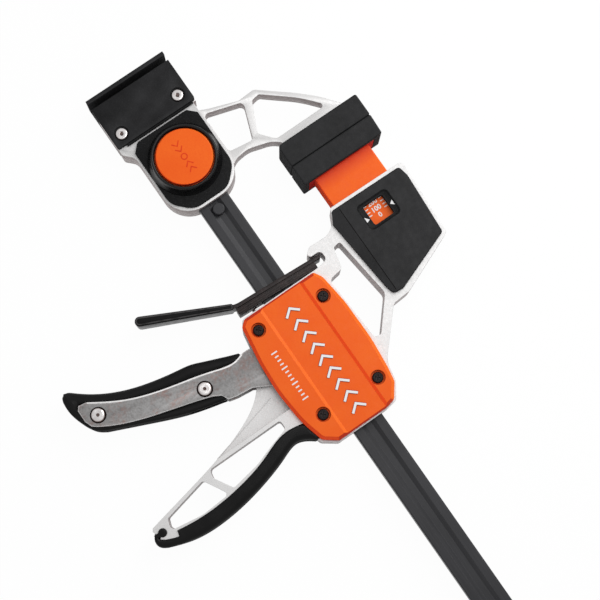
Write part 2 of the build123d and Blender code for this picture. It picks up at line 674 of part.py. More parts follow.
with BuildPart() as frame:
    with BuildSketch(MID):
        frame_outline()
        rounded(STRUT_SLOT, STRUT_SLOT_RADII, Mode.SUBTRACT)
        rounded(HANDLE_WINDOW_A, WINDOW_A_RADII, Mode.SUBTRACT)
        rounded(HANDLE_WINDOW_B, WINDOW_B_RADII, Mode.SUBTRACT)
    extrude(amount=FRAME_HALF, both=True)
    # Cavity round the bar for the drive plates and their spring
    with BuildSketch(MID):
        with Locations(((CAVITY_LEFT_X + CAVITY_RIGHT_X) / 2, (CAVITY_LOW_Y + CAVITY_HIGH_Y) / 2)):
            Rectangle(CAVITY_RIGHT_X - CAVITY_LEFT_X, CAVITY_HIGH_Y - CAVITY_LOW_Y)
        # Cavity of the gauge plunger and its springs
        with Locations((HOUSING_LEFT_X + HOUSING_WALL, PLUNGER_LOW_Y - GAP)):
            Rectangle(
                HOUSING_SEAT_X - HOUSING_LEFT_X - HOUSING_WALL,
                PLUNGER_HIGH_Y - PLUNGER_LOW_Y + 2 * GAP,
                align=(Align.MIN, Align.MIN),
            )
    extrude(amount=FRAME_HALF, both=True, mode=Mode.SUBTRACT)
    # Mouth of the housing for the plunger's neck
    with BuildSketch(Plane.YZ.offset(HOUSING_LEFT_X - 1)):
        with Locations(((PLUNGER_LOW_Y + PLUNGER_HIGH_Y) / 2, MID_Z)):
            Rectangle(PLUNGER_HIGH_Y - PLUNGER_LOW_Y + 2 * GAP, 2 * (PLUNGER_HALF + GAP))
    extrude(amount=HOUSING_WALL + 2, mode=Mode.SUBTRACT)
    # Passage of the bar
    with BuildSketch(Plane.YZ.offset(BODY_LEFT_X - 1)):
        bar_hole(GAP)
    extrude(amount=BODY_RIGHT_X - BODY_LEFT_X + 2, mode=Mode.SUBTRACT)
    # Faces recessed down to the web where the trigger swings
    for side in (1, -1):
        with BuildSketch(level(side, WEB_HALF)):
            rounded(SWING_RECESS, SWING_RECESS_RADII)
            rounded(TRIGGER_POCKET, TRIGGER_POCKET_RADII)
            with Locations(PIVOT):
                Circle(EYE_R + EYE_CLEARANCE)
        extrude(amount=side * (FRAME_HALF - WEB_HALF), mode=Mode.SUBTRACT)
    with BuildSketch(MID):
        with Locations(PIVOT):
            Circle(PIVOT_BOSS_R)
    extrude(amount=PLATE_INNER - PIN_FIT, both=True)
    with BuildSketch(MID):
        with Locations(PIVOT):
            Circle(PIVOT_R + PIN_FIT)
    extrude(amount=FRAME_HALF, both=True, mode=Mode.SUBTRACT)
    # Seat of the brake spring in the body's left end
    with Locations(Location((BODY_LEFT_X, BRAKE_SPRING_Y, MID_Z), (0, 90, 0))):
        Cylinder(BRAKE_SPRING_R + BRAKE_SPRING_WIRE / 2 + GAP, BRAKE_SPRING_SEAT,
                 align=(Align.CENTER, Align.CENTER, Align.MIN), mode=Mode.SUBTRACT)
    # Threaded holes of the cover screws, from both sides
    for side in (1, -1):
        with BuildSketch(level(side, FRAME_HALF)):
            with Locations(*COVER_SCREWS):
                Circle(SCREW_R + PIN_FIT)
        extrude(amount=-side * (SCREW_LENGTH - POCKET_FLOOR + PIN_FIT), mode=Mode.SUBTRACT)
save(frame, "frame")

with BuildPart() as trigger_pivot:
    with BuildSketch(MID):
        with Locations(PIVOT):
            Circle(PIVOT_R)
    extrude(amount=PLATE_OUTER + PIN_END, both=True)
save(trigger_pivot, "trigger_pivot")

# ---------------------------------------------------------------- outline of the orange covers
COVER_OUTLINE = [
    (-40.3, -22.8),
    (-40.3, 21.4),
    (-35.6, 24.2),
    (-18.0, 26.3),
    (6.0, 26.6),
    (23.0, 25.0),
    (31.4, 23.6),
    (39.2, 17.8),
    (40.4, 12.6),
    (40.4, -17.9),
    (35.0, -25.2),
    (22.0, -28.8),
    (2.0, -30.6),
    (-16.0, -29.6),
    (-37.4, -26.4),
]
COVER_RADII = [2, 2, 8, 60, 80, 20, 3, 3, 2, 2, 5, 60, 80, 60, 2.5]

# ---------------------------------------------------------------- handle grip on the handle's outer edge
GRIP_FACE_INNER = [(21.7, -30.5), (20.6, -38.6), (25.8, -56.8), (32.6, -85.3), (31.8, -106.2), (30.8, -113.6)]
GRIP_FACE_OUTER = [(34.8, -122.4), (39.0, -111.2), (40.9, -91.0), (34.9, -59.4), (28.6, -37.5), (33.4, -27.6)]
GRIP_SHOULDER = (33.6, -114.6)
GRIP_HEEL = [(25.6, -124.4), (28.8, -126.6), (32.4, -126.2)]
GRIP_CROWN = (30.0, -26.5)
with BuildPart() as handle_grip:
    with BuildSketch(MID):
        with BuildLine() as outline:
            Spline(*GRIP_FACE_INNER)
            Polyline(GRIP_FACE_INNER[-1], GRIP_SHOULDER, *HANDLE_TIP, GRIP_HEEL[0])
            Spline(*GRIP_HEEL, GRIP_FACE_OUTER[0])
            Spline(*GRIP_FACE_OUTER)
            Polyline(GRIP_FACE_OUTER[-1], GRIP_CROWN, GRIP_FACE_INNER[0])
        make_face(outline.edges())
        with Locations(BEAD):
            Circle(BEAD_R)
        with Locations(BEAD):
            Rectangle(
                2 * BEAD_NECK_HALF,
                BEAD[1] - GRIP_HEEL[0][1] + 1.0,
                align=(Align.CENTER, Align.MAX),
            )
    extrude(amount=FRAME_HALF + GRIP_RIM, both=True)
    # The rims stop at the orange covers
    for side in (1, -1):
        with BuildSketch(level(side, FRAME_HALF)):
            rounded(COVER_OUTLINE, COVER_RADII)
        extrude(amount=side * GRIP_RIM, mode=Mode.SUBTRACT)
    add(frame.part, mode=Mode.SUBTRACT)
save(handle_grip, "handle_grip")

# ---------------------------------------------------------------- orange covers and their screws
HOLLOW = [(-33.0, -20.4), (-33.0, 17.0), (0.0, 22.6), (33.0, 17.0), (33.0, -18.0), (0.0, -25.4)]


def body_cover(side):
    """One orange cover: chamfered ends, a sunk middle band and four screw pockets."""
    with BuildPart() as cover:
        with BuildSketch(level(side, FRAME_HALF)):
            rounded(COVER_OUTLINE, COVER_RADII)
        extrude(amount=side * (COVER_HALF - FRAME_HALF))
        outer = cover.faces().sort_by(Axis.Z)[-1 if side > 0 else 0]
        chamfer(outer.edges(), COVER_CHAMFER)
        # Sunk band with sloping sides along the bar
        with BuildSketch(Plane.YZ.offset(BODY_LEFT_X - 1)):
            with BuildLine() as band:
                Polyline(
                    (-BAND_HALF_WIDTH - BAND_SLOPE, MID_Z + side * COVER_HALF),
                    (BAND_HALF_WIDTH + BAND_SLOPE, MID_Z + side * COVER_HALF),
                    (BAND_HALF_WIDTH - BAND_SLOPE, MID_Z + side * (COVER_HALF - BAND_DEPTH)),
                    (-BAND_HALF_WIDTH + BAND_SLOPE, MID_Z + side * (COVER_HALF - BAND_DEPTH)),
                    close=True,
                )
            make_face(band.edges())
        extrude(amount=BODY_RIGHT_X - BODY_LEFT_X + 2, mode=Mode.SUBTRACT)
        # Hollow inside, with posts left under the screws
        with BuildSketch(level(side, FRAME_HALF)):
            rounded(HOLLOW, [2] * len(HOLLOW))
            rounded(TRIGGER_POCKET, TRIGGER_POCKET_RADII)
            with Locations(PIVOT):
                Circle(EYE_R + EYE_CLEARANCE)
            with Locations(*COVER_SCREWS):
                Circle(POCKET_R + POST, mode=Mode.SUBTRACT)
        extrude(amount=side * COVER_HOLLOW, mode=Mode.SUBTRACT)
        with BuildSketch(level(side, FRAME_HALF + POCKET_FLOOR)):
            with Locations(*COVER_SCREWS):
                Circle(POCKET_R)
        extrude(amount=side * COVER_HALF, mode=Mode.SUBTRACT)
        with BuildSketch(level(side, FRAME_HALF)):
            with Locations(*COVER_SCREWS):
                Circle(SCREW_R + PIN_FIT)
        extrude(amount=side * COVER_HALF, mode=Mode.SUBTRACT)
    return cover


save(body_cover(1), "front_cover")
save(body_cover(-1), "rear_cover")

with BuildPart() as cover_screws:
    for side in (1, -1):
        with BuildSketch(level(side, FRAME_HALF + POCKET_FLOOR)):
            with Locations(*COVER_SCREWS):
                Circle(SCREW_HEAD_R)
        extrude(amount=side * SCREW_HEAD)
        with BuildSketch(level(side, FRAME_HALF + POCKET_FLOOR)):
            with Locations(*COVER_SCREWS):
                Circle(SCREW_R)
        extrude(amount=-side * SCREW_LENGTH)
    rims = cover_screws.edges().filter_by(GeomType.CIRCLE).group_by(Axis.Z)
    fillet(rims[0] + rims[-1], SCREW_DOME)
    # Cross recesses
    for side in (1, -1):
        with BuildSketch(level(side, FRAME_HALF + POCKET_FLOOR + SCREW_HEAD)):
            with Locations(*COVER_SCREWS):
                Rectangle(*CROSS_SLOT, rotation=45)
                Rectangle(*CROSS_SLOT, rotation=-45)
        extrude(amount=-side * CROSS_DEPTH, mode=Mode.SUBTRACT)
save(cover_screws, "cover_screws")

# ---------------------------------------------------------------- jaw housing covers
GAUGE_OUTLINE = [
    (-62.0, 48.6),
    (-61.4, 91.9),
    (-55.0, 93.2),
    (-19.4, 90.9),
    (-6.3, 56.0),
    (-7.0, 50.2),
    (-12.0, 49.0),
    (-55.4, 44.8),
]
GAUGE_RADII = [1.5, 2.0, 3.0, 2.0, 2.5, 2.5, 3.0, 3.0]
CREASE_Y = 52.4
CREASE_DROP = 1.6  # of the slope at the cover's lower edge
CREASE_FOOT_Y = 40.0
GAUGE_EDGE = 0.6
RIB = 3.0  # width of the cover's locating rib
POCKET_DROP = 1.0
POCKET_MARGINS = (1.6, 3.3)  # of the window's pocket round the window, along X and Y
POCKET_CORNER = 2.5
WINDOW_CORNER = 1.2


def gauge_cover_blank(side):
    """A housing cover whose lower edge slopes away below a crease, with snap lips inside."""
    with BuildPart() as cover:
        with BuildSketch(level(side, FRAME_HALF)):
            rounded(GAUGE_OUTLINE, GAUGE_RADII)
        extrude(amount=side * GAUGE_COVER)
        outer = cover.faces().sort_by(Axis.Z)[-1 if side > 0 else 0]
        chamfer(outer.edges(), GAUGE_EDGE)
        with BuildSketch(Plane.YZ.offset(HOUSING_LEFT_X)):
            with BuildLine() as slope:
                Polyline(
                    (CREASE_Y, MID_Z + side * (FRAME_HALF + GAUGE_COVER)),
                    (CREASE_FOOT_Y, MID_Z + side * (FRAME_HALF + GAUGE_COVER)),
                    (CREASE_FOOT_Y, MID_Z + side * (FRAME_HALF + GAUGE_COVER - CREASE_DROP)),
                    close=True,
                )
            make_face(slope.edges())
        extrude(amount=-HOUSING_LEFT_X, mode=Mode.SUBTRACT)
        # Locating rib that fills the cavity down to the plunger
        with BuildSketch(level(side, PLUNGER_HALF + GAP)):
            with Locations((HOUSING_LEFT_X + HOUSING_WALL + GAP, PLUNGER_LOW_Y)):
                Rectangle(
                    HOUSING_SEAT_X - HOUSING_LEFT_X - HOUSING_WALL - 2 * GAP,
                    PLUNGER_HIGH_Y - PLUNGER_LOW_Y,
                    align=(Align.MIN, Align.MIN),
                )
                Rectangle(
                    HOUSING_SEAT_X - HOUSING_LEFT_X - HOUSING_WALL - 2 * GAP - RIB,
                    PLUNGER_HIGH_Y - PLUNGER_LOW_Y - RIB,
                    align=(Align.MIN, Align.MIN),
                    mode=Mode.SUBTRACT,
                )
        extrude(amount=side * (FRAME_HALF - PLUNGER_HALF - GAP))
    return cover


with BuildPart() as gauge_cover:
    add(gauge_cover_blank(1).part)
    with BuildSketch(level(1, FRAME_HALF + GAUGE_COVER - POCKET_DROP)):
        with Locations((WINDOW_X, WINDOW_Y)):
            RectangleRounded(
                WINDOW_SIZE[0] + 2 * POCKET_MARGINS[0],
                WINDOW_SIZE[1] + 2 * POCKET_MARGINS[1],
                POCKET_CORNER,
            )
    extrude(amount=POCKET_DROP, taper=-20, mode=Mode.SUBTRACT)
    with BuildSketch(level(1, PLUNGER_HALF)):
        with Locations((WINDOW_X, WINDOW_Y)):
            RectangleRounded(*WINDOW_SIZE, WINDOW_CORNER)
    extrude(amount=FRAME_HALF + GAUGE_COVER - PLUNGER_HALF, mode=Mode.SUBTRACT)
save(gauge_cover, "gauge_cover")

with BuildPart() as gauge_back_cover:
    add(gauge_cover_blank(-1).part)
save(gauge_back_cover, "gauge_back_cover")

# ---------------------------------------------------------------- plunger, moving pad, force springs
PAD_BACK_X = PAD_FACE_X + MOVING_PAD_DEPTH
FLANGE_FRONT_X = PAD_BACK_X - PLUNGER_FLANGE
with BuildPart() as plunger:
    with BuildSketch(MID):
        with Locations((FLANGE_FRONT_X, PLUNGER_LOW_Y)):
            Rectangle(
                PLUNGER_END_X - FLANGE_FRONT_X, PLUNGER_HIGH_Y - PLUNGER_LOW_Y, align=(Align.MIN, Align.MIN)
            )
    extrude(amount=PLUNGER_HALF, both=True)
    fillet(plunger.edges().filter_by(Axis.X), PLUNGER_EDGE)
    with BuildSketch(MID):
        with Locations((FLANGE_FRONT_X, PLUNGER_LOW_Y - FLANGE_SPREAD)):
            Rectangle(
                PLUNGER_FLANGE,
                PLUNGER_HIGH_Y - PLUNGER_LOW_Y + 2 * FLANGE_SPREAD,
                align=(Align.MIN, Align.MIN),
            )
    extrude(amount=FLANGE_HALF, both=True)
save(plunger, "plunger")

with BuildPart() as moving_pad:
    with BuildSketch(MID):
        rounded(
            [
                (PAD_FACE_X + PAD_SPACE / 2, PAD_LOW_Y),
                (PAD_BACK_X, PAD_LOW_Y),
                (PAD_BACK_X, PAD_HIGH_Y - MOVING_PAD_TAPER),
                (PAD_FACE_X + PAD_SPACE / 2, PAD_HIGH_Y),
            ],
            [PAD_EDGE, PAD_EDGE, PAD_BACK_CORNER, PAD_EDGE],
        )
    extrude(amount=PAD_HALF, both=True)
    fillet(moving_pad.faces().filter_by(Axis.Z).edges(), PAD_ROUND)
    # Recess in the back for the plunger's flange
    with BuildSketch(MID):
        with Locations((FLANGE_FRONT_X, PLUNGER_LOW_Y - FLANGE_SPREAD - GAP)):
            Rectangle(
                MOVING_PAD_DEPTH,
                PLUNGER_HIGH_Y - PLUNGER_LOW_Y + 2 * (FLANGE_SPREAD + GAP),
                align=(Align.MIN, Align.MIN),
            )
    extrude(amount=FLANGE_HALF + GAP, both=True, mode=Mode.SUBTRACT)
save(moving_pad, "moving_pad")

FORCE_SPRINGS_Y = [PLUNGER_LOW_Y + FORCE_SPRING_INSET, PLUNGER_HIGH_Y - FORCE_SPRING_INSET]
with BuildPart() as force_springs:
    for y in FORCE_SPRINGS_Y:
        add(
            coil(
                (PLUNGER_END_X, y, MID_Z),
                (1, 0, 0),
                HOUSING_SEAT_X - PLUNGER_END_X,
                FORCE_SPRING_R,
                FORCE_SPRING_WIRE,
                4,
            ).part
        )
save(force_springs, "force_springs")

# ---------------------------------------------------------------- trigger
PLATE_OUTER_EDGE = [(-51.6, -116.0), (-41.3, -99.4), (-33.2, -75.5), (-27.2, -52.0), (-24.4, -38.0)]
PLATE_STEP = (NECK_LEFT[0], -33.8)
PLATE_NECK = [(-8.2, -39.6), (-9.2, -48.6), (-10.4, -53.6), (-14.0, -55.2)]
PLATE_INNER_EDGE = [(-16.3, -59.4), (-21.2, -75.2), (-27.0, -95.0), (-37.6, -118.2)]
PLATE_TIP = [(-39.4, -120.4), (-43.4, -121.9), (-50.2, -121.9), (-52.3, -120.2)]


def trigger_plate(side):
    """A steel side plate: blade in the grip, neck into the body and an eye round the pivot."""
    with BuildPart() as plate:
        with BuildSketch(level(side, PLATE_INNER)):
            with BuildLine() as outline:
                Spline(*PLATE_OUTER_EDGE)
                Polyline(
                    PLATE_OUTER_EDGE[-1],
                    PLATE_STEP,
                    NECK_LEFT,
                    (PIVOT[0] - EYE_R, PIVOT[1]),
                    (PIVOT[0] + EYE_R, PIVOT[1]),
                    NECK_RIGHT,
                    *PLATE_NECK,
                    PLATE_INNER_EDGE[0],
                )
                Spline(*PLATE_INNER_EDGE)
                Polyline(PLATE_INNER_EDGE[-1], *PLATE_TIP, PLATE_OUTER_EDGE[0])
            make_face(outline.edges())
            with Locations(PIVOT):
                Circle(EYE_R)
                Circle(PIVOT_R + PIN_FIT, mode=Mode.SUBTRACT)
            with Locations(ROLLER):
                Circle(ROLLER_NECK_R + PIN_FIT, mode=Mode.SUBTRACT)
            with Locations(*TRIGGER_RIVETS):
                Circle(RIVET_R + PIN_FIT, mode=Mode.SUBTRACT)
        extrude(amount=side * PLATE_THICK)
    return plate


plates = {side: trigger_plate(side) for side in (1, -1)}
save(plates[1], "trigger_plate_front")
save(plates[-1], "trigger_plate_rear")

with BuildPart() as drive_roller:
    with BuildSketch(MID):
        with Locations(ROLLER):
            Circle(ROLLER_R)
    extrude(amount=PLATE_INNER - PIN_FIT, both=True)
    with BuildSketch(MID):
        with Locations(ROLLER):
            Circle(ROLLER_NECK_R)
    extrude(amount=PLATE_OUTER + PIN_END, both=True)
save(drive_roller, "drive_roller")

with BuildPart() as trigger_rivets:
    with BuildSketch(MID):
        with Locations(*TRIGGER_RIVETS):
            Circle(RIVET_R)
    extrude(amount=PLATE_OUTER, both=True)
    for side in (1, -1):
        with BuildSketch(level(side, PLATE_OUTER)):
            with Locations(*TRIGGER_RIVETS):
                Circle(RIVET_HEAD_R)
        extrude(amount=side * RIVET_HEAD)
    rims = trigger_rivets.edges().filter_by(GeomType.CIRCLE).group_by(Axis.Z)
    fillet(rims[0] + rims[-1], RIVET_DOME)
save(trigger_rivets, "trigger_rivets")

GRIP_OUTER_EDGE = [
    (-60.4, -122.6),
    (-58.6, -117.6),
    (-49.0, -104.0),
    (-41.6, -86.0),
    (-38.2, -66.0),
    (-35.4, -56.6),
    (-28.0, -36.6),
]
GRIP_NOSE = [(-25.2, -34.6), (-22.4, -42.0), (-19.6, -54.0)]
GRIP_INNER_EDGE = [(-10.2, -54.4), (-15.6, -75.4), (-23.1, -94.5), (-32.4, -116.1)]
GRIP_END = [(-35.8, -120.8), (-42.6, -123.8), (-51.0, -125.5), (-58.4, -125.2)]
GRIP_NEST = [(-19.4, -40.0), (-19.4, -58.0), (-17.6, -72.0), (-11.0, -80.0), (0.0, -80.0), (0.0, -40.0)]
with BuildPart() as trigger_grip:
    with BuildSketch(MID):
        with BuildLine() as outline:
            Spline(*GRIP_OUTER_EDGE)
            Polyline(GRIP_OUTER_EDGE[-1], *GRIP_NOSE, GRIP_INNER_EDGE[0])
            Spline(*GRIP_INNER_EDGE)
            Spline(GRIP_INNER_EDGE[-1], *GRIP_END, GRIP_OUTER_EDGE[0])
        make_face(outline.edges())
    extrude(amount=GRIP_HALF, both=True)
    # Open slot towards the fixed handle, which nests over the frame's web
    with BuildSketch(MID):
        rounded(GRIP_NEST, [0, 3, 4, 3, 0, 0])
    extrude(amount=GRIP_SLOT_HALF, both=True, mode=Mode.SUBTRACT)
    add(plates[1].part, mode=Mode.SUBTRACT)
    add(plates[-1].part, mode=Mode.SUBTRACT)
    with BuildSketch(MID):
        with Locations(*TRIGGER_RIVETS):
            Circle(RIVET_HEAD_R + PIN_FIT)
    extrude(amount=PLATE_OUTER + RIVET_HEAD, both=True, mode=Mode.SUBTRACT)
save(trigger_grip, "trigger_grip")

# ---------------------------------------------------------------- drive plates and their spring
DRIVE_START_X = ROLLER[0] + ROLLER_R + GAP
for number in range(DRIVE_COUNT):
    with BuildPart() as drive_plate:
        with BuildSketch(Plane.YZ.offset(DRIVE_START_X + number * DRIVE_THICK)):
            with Locations(((CAVITY_LOW_Y + CAVITY_HIGH_Y) / 2, MID_Z)):
                RectangleRounded(CAVITY_HIGH_Y - CAVITY_LOW_Y - 2 * DRIVE_GAP, 2 * DRIVE_HALF, DRIVE_CORNER)
            with Locations((0, MID_Z)):
                Rectangle(BAR_WIDTH + 4 * GAP, 2 * BAR_HALF + 4 * GAP, mode=Mode.SUBTRACT)
        extrude(amount=DRIVE_THICK)
    save(drive_plate, f"drive_plate_{number + 1}")

DRIVE_BACK_X = DRIVE_START_X + DRIVE_COUNT * DRIVE_THICK
drive_spring = coil(
    (DRIVE_BACK_X, DRIVE_SPRING_Y, MID_Z),
    (1, 0, 0),
    CAVITY_RIGHT_X - DRIVE_BACK_X,
    DRIVE_SPRING_R,
    DRIVE_SPRING_WIRE,
    7,
)
save(drive_spring, "drive_spring")

# ---------------------------------------------------------------- release lever, sleeve, brake plates
LEVER_BEND = turned((LEVER_PIVOT[0], LEVER_BEND_Y), -LEVER_TILT, LEVER_PIVOT)
LEVER_RUN = Vector(*LEVER_END) - Vector(*LEVER_BEND)
SLEEVE_START = Vector(*LEVER_BEND) + LEVER_RUN * SLEEVE_SHARE
SLOT_REACH = BODY_LEFT_X - LEVER_BEND[0] + LEVER_THICK  # from the body past the lever's lowest slot edge

with BuildPart() as release_lever:
    with BuildSketch(MID):
        with BuildLine() as strip:
            FilletPolyline(LEVER_PIVOT, LEVER_BEND, LEVER_END, radius=LEVER_BEND_R)
            offset(amount=LEVER_THICK / 2)
        make_face(strip.edges())
    extrude(amount=LEVER_HALF, both=True)
    # Slot for the bar, with room for the tilt
    with BuildSketch(Plane.YZ.offset(BODY_LEFT_X)):
        bar_hole(3 * GAP)
    extrude(amount=-SLOT_REACH, mode=Mode.SUBTRACT)
save(release_lever, "release_lever")

with BuildPart() as lever_sleeve:
    with BuildSketch(MID):
        with BuildLine() as dip:
            Polyline(SLEEVE_START, LEVER_END)
            offset(amount=SLEEVE_THICK / 2)
        make_face(dip.edges())
    extrude(amount=SLEEVE_HALF, both=True)
    fillet(lever_sleeve.faces().filter_by(Axis.Z).edges(), 2.2)
    add(release_lever.part, mode=Mode.SUBTRACT)
save(lever_sleeve, "lever_sleeve")

for number in range(BRAKE_COUNT):
    near = BODY_LEFT_X - BRAKE_GAP - number * BRAKE_THICK
    far = near - BRAKE_THICK
    corners = [(near, BRAKE_HIGH_Y), (far, BRAKE_HIGH_Y), (far, BRAKE_LOW_Y), (near, BRAKE_LOW_Y)]
    with BuildPart() as brake_plate:
        with BuildSketch(MID):
            with BuildLine() as edge:
                Polyline(*[turned(corner, -BRAKE_TILT, LEVER_PIVOT) for corner in corners], close=True)
            make_face(edge.edges())
        extrude(amount=BRAKE_HALF, both=True)
        with BuildSketch(Plane.YZ.offset(BODY_LEFT_X)):
            bar_hole(2 * GAP)
        extrude(amount=-SLOT_REACH, mode=Mode.SUBTRACT)
    save(brake_plate, f"brake_plate_{number + 1}")

BRAKE_BACK_X = turned((BODY_LEFT_X - BRAKE_GAP, BRAKE_SPRING_Y), -BRAKE_TILT, LEVER_PIVOT)[0]
brake_spring = coil(
    (BRAKE_BACK_X, BRAKE_SPRING_Y, MID_Z),
    (1, 0, 0),
    BRAKE_SEAT_X - BRAKE_BACK_X,
    BRAKE_SPRING_R,
    BRAKE_SPRING_WIRE,
    3,
)
save(brake_spring, "brake_spring")
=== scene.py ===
import math

import bmesh
import bpy
import numpy as np
from mathutils import Matrix, Vector, geometry


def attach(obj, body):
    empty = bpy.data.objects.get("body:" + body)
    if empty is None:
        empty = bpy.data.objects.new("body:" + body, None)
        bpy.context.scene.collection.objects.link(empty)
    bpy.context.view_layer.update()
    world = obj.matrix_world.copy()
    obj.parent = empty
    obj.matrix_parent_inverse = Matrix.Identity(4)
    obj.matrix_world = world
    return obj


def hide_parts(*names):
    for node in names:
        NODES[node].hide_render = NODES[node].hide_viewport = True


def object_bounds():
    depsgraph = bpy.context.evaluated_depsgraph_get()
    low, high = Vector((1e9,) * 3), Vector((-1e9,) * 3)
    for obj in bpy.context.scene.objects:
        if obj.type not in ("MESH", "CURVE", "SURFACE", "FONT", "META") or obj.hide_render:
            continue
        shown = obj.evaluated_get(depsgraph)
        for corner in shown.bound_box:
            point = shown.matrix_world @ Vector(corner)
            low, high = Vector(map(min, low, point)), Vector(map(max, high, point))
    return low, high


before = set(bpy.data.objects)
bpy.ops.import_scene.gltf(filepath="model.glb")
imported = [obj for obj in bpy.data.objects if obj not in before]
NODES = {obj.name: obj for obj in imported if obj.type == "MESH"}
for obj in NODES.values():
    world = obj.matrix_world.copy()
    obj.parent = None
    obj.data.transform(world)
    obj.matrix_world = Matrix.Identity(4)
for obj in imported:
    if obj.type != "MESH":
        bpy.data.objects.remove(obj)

# A one-handed bar clamp on a white table. Every length below is in millimetres and MM turns it
# into Blender's metres. X runs along the bar, Y from the handles to the jaws and Z up.
CAD_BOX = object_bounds()
MM = 0.001
MID_Z = 12.5  # the clamp's middle plane

# ---------------------------------------------------------------- camera and studio
CAMERA_PLACE = Vector((0.05444, -0.06542, 0.8215))
CAMERA_LOOK = Vector((-0.10740, 0.09010, -0.99013))
CAMERA_UP = Vector((-0.81482, 0.56266, 0.13958))
CAMERA_LENS = 91.507
CAMERA_SENSOR = 36.0

AMBIENT = 0.45
BOX_LIGHT_SIZE = (0.3, 0.9)
BOX_LIGHT_PLACE = Vector((-0.12, 0.37, 0.46))
BOX_LIGHT_POWER = 3.2
FLOOR_HALF = 6.0
FLOOR_GLOW = 0.97  # share of the table's white that the clamp does not shade


def add_camera():
    """The photograph's view of the clamp."""
    data = bpy.data.cameras.new("camera")
    data.lens = CAMERA_LENS
    data.sensor_width = CAMERA_SENSOR
    camera = bpy.data.objects.new("camera", data)
    look = CAMERA_LOOK.normalized()
    right = look.cross(CAMERA_UP).normalized()
    up = right.cross(look)
    turn = Matrix((right, up, -look)).transposed()
    camera.matrix_world = Matrix.Translation(CAMERA_PLACE) @ turn.to_4x4()
    bpy.context.scene.collection.objects.link(camera)
    bpy.context.scene.camera = camera


def seen_directly(tree):
    """1 where a ray comes from the camera, a reflection or a see-through surface."""
    path = tree.nodes.new("ShaderNodeLightPath")
    first = tree.nodes.new("ShaderNodeMath")
    first.operation = "MAXIMUM"
    tree.links.new(path.outputs["Is Camera Ray"], first.inputs[0])
    tree.links.new(path.outputs["Is Glossy Ray"], first.inputs[1])
    both = tree.nodes.new("ShaderNodeMath")
    both.operation = "MAXIMUM"
    tree.links.new(first.outputs[0], both.inputs[0])
    tree.links.new(path.outputs["Is Transmission Ray"], both.inputs[1])
    return both.outputs[0]


def light_world():
    """A plain white surround that lights the clamp softly."""
    world = bpy.data.worlds.new("studio")
    bpy.context.scene.world = world
    world.use_nodes = True
    tree = world.node_tree
    tree.nodes.clear()
    soft = tree.nodes.new("ShaderNodeBackground")
    soft.inputs["Strength"].default_value = AMBIENT
    white = tree.nodes.new("ShaderNodeBackground")
    white.inputs["Strength"].default_value = 1.0
    for background in (soft, white):
        background.inputs["Color"].default_value = (1.0, 1.0, 1.0, 1.0)
    mix = tree.nodes.new("ShaderNodeMixShader")
    tree.links.new(seen_directly(tree), mix.inputs[0])
    tree.links.new(soft.outputs[0], mix.inputs[1])
    tree.links.new(white.outputs[0], mix.inputs[2])
    output = tree.nodes.new("ShaderNodeOutputWorld")
    tree.links.new(mix.outputs[0], output.inputs[0])


def add_box_light():
    """A long soft box over the jaws, narrow along the bar."""
    data = bpy.data.lights.new("soft_box", "AREA")
    data.shape = "RECTANGLE"
    data.size, data.size_y = BOX_LIGHT_SIZE
    data.energy = BOX_LIGHT_POWER
    light = bpy.data.objects.new("soft_box", data)
    light.location = BOX_LIGHT_PLACE
    light.rotation_euler = (-BOX_LIGHT_PLACE).to_track_quat("-Z", "Y").to_euler()
    bpy.context.scene.collection.objects.link(light)


def add_floor():
    """A white table that keeps the clamp's soft shadow."""
    mesh = bpy.data.meshes.new("floor")
    grid = bmesh.new()
    bmesh.ops.create_grid(grid, x_segments=1, y_segments=1, size=FLOOR_HALF)
    grid.to_mesh(mesh)
    grid.free()
    floor = bpy.data.objects.new("floor", mesh)
    floor.location.z = CAD_BOX[0][2]
    bpy.context.scene.collection.objects.link(floor)
    material = bpy.data.materials.new("table")
    material.use_nodes = True
    tree = material.node_tree
    tree.nodes.clear()
    diffuse = tree.nodes.new("ShaderNodeBsdfDiffuse")
    diffuse.inputs["Color"].default_value = (0.95, 0.95, 0.95, 1.0)
    glow = tree.nodes.new("ShaderNodeEmission")
    glow.inputs["Strength"].default_value = 1.0
    mix = tree.nodes.new("ShaderNodeMixShader")
    share = tree.nodes.new("ShaderNodeMath")
    share.operation = "MULTIPLY"
    share.inputs[1].default_value = FLOOR_GLOW
    tree.links.new(seen_directly(tree), share.inputs[0])
    tree.links.new(share.outputs[0], mix.inputs[0])
    tree.links.new(diffuse.outputs[0], mix.inputs[1])
    tree.links.new(glow.outputs[0], mix.inputs[2])
    output = tree.nodes.new("ShaderNodeOutputMaterial")
    tree.links.new(mix.outputs[0], output.inputs[0])
    mesh.materials.append(material)


# ---------------------------------------------------------------- materials
WALL_ROUGHNESS = 0.92


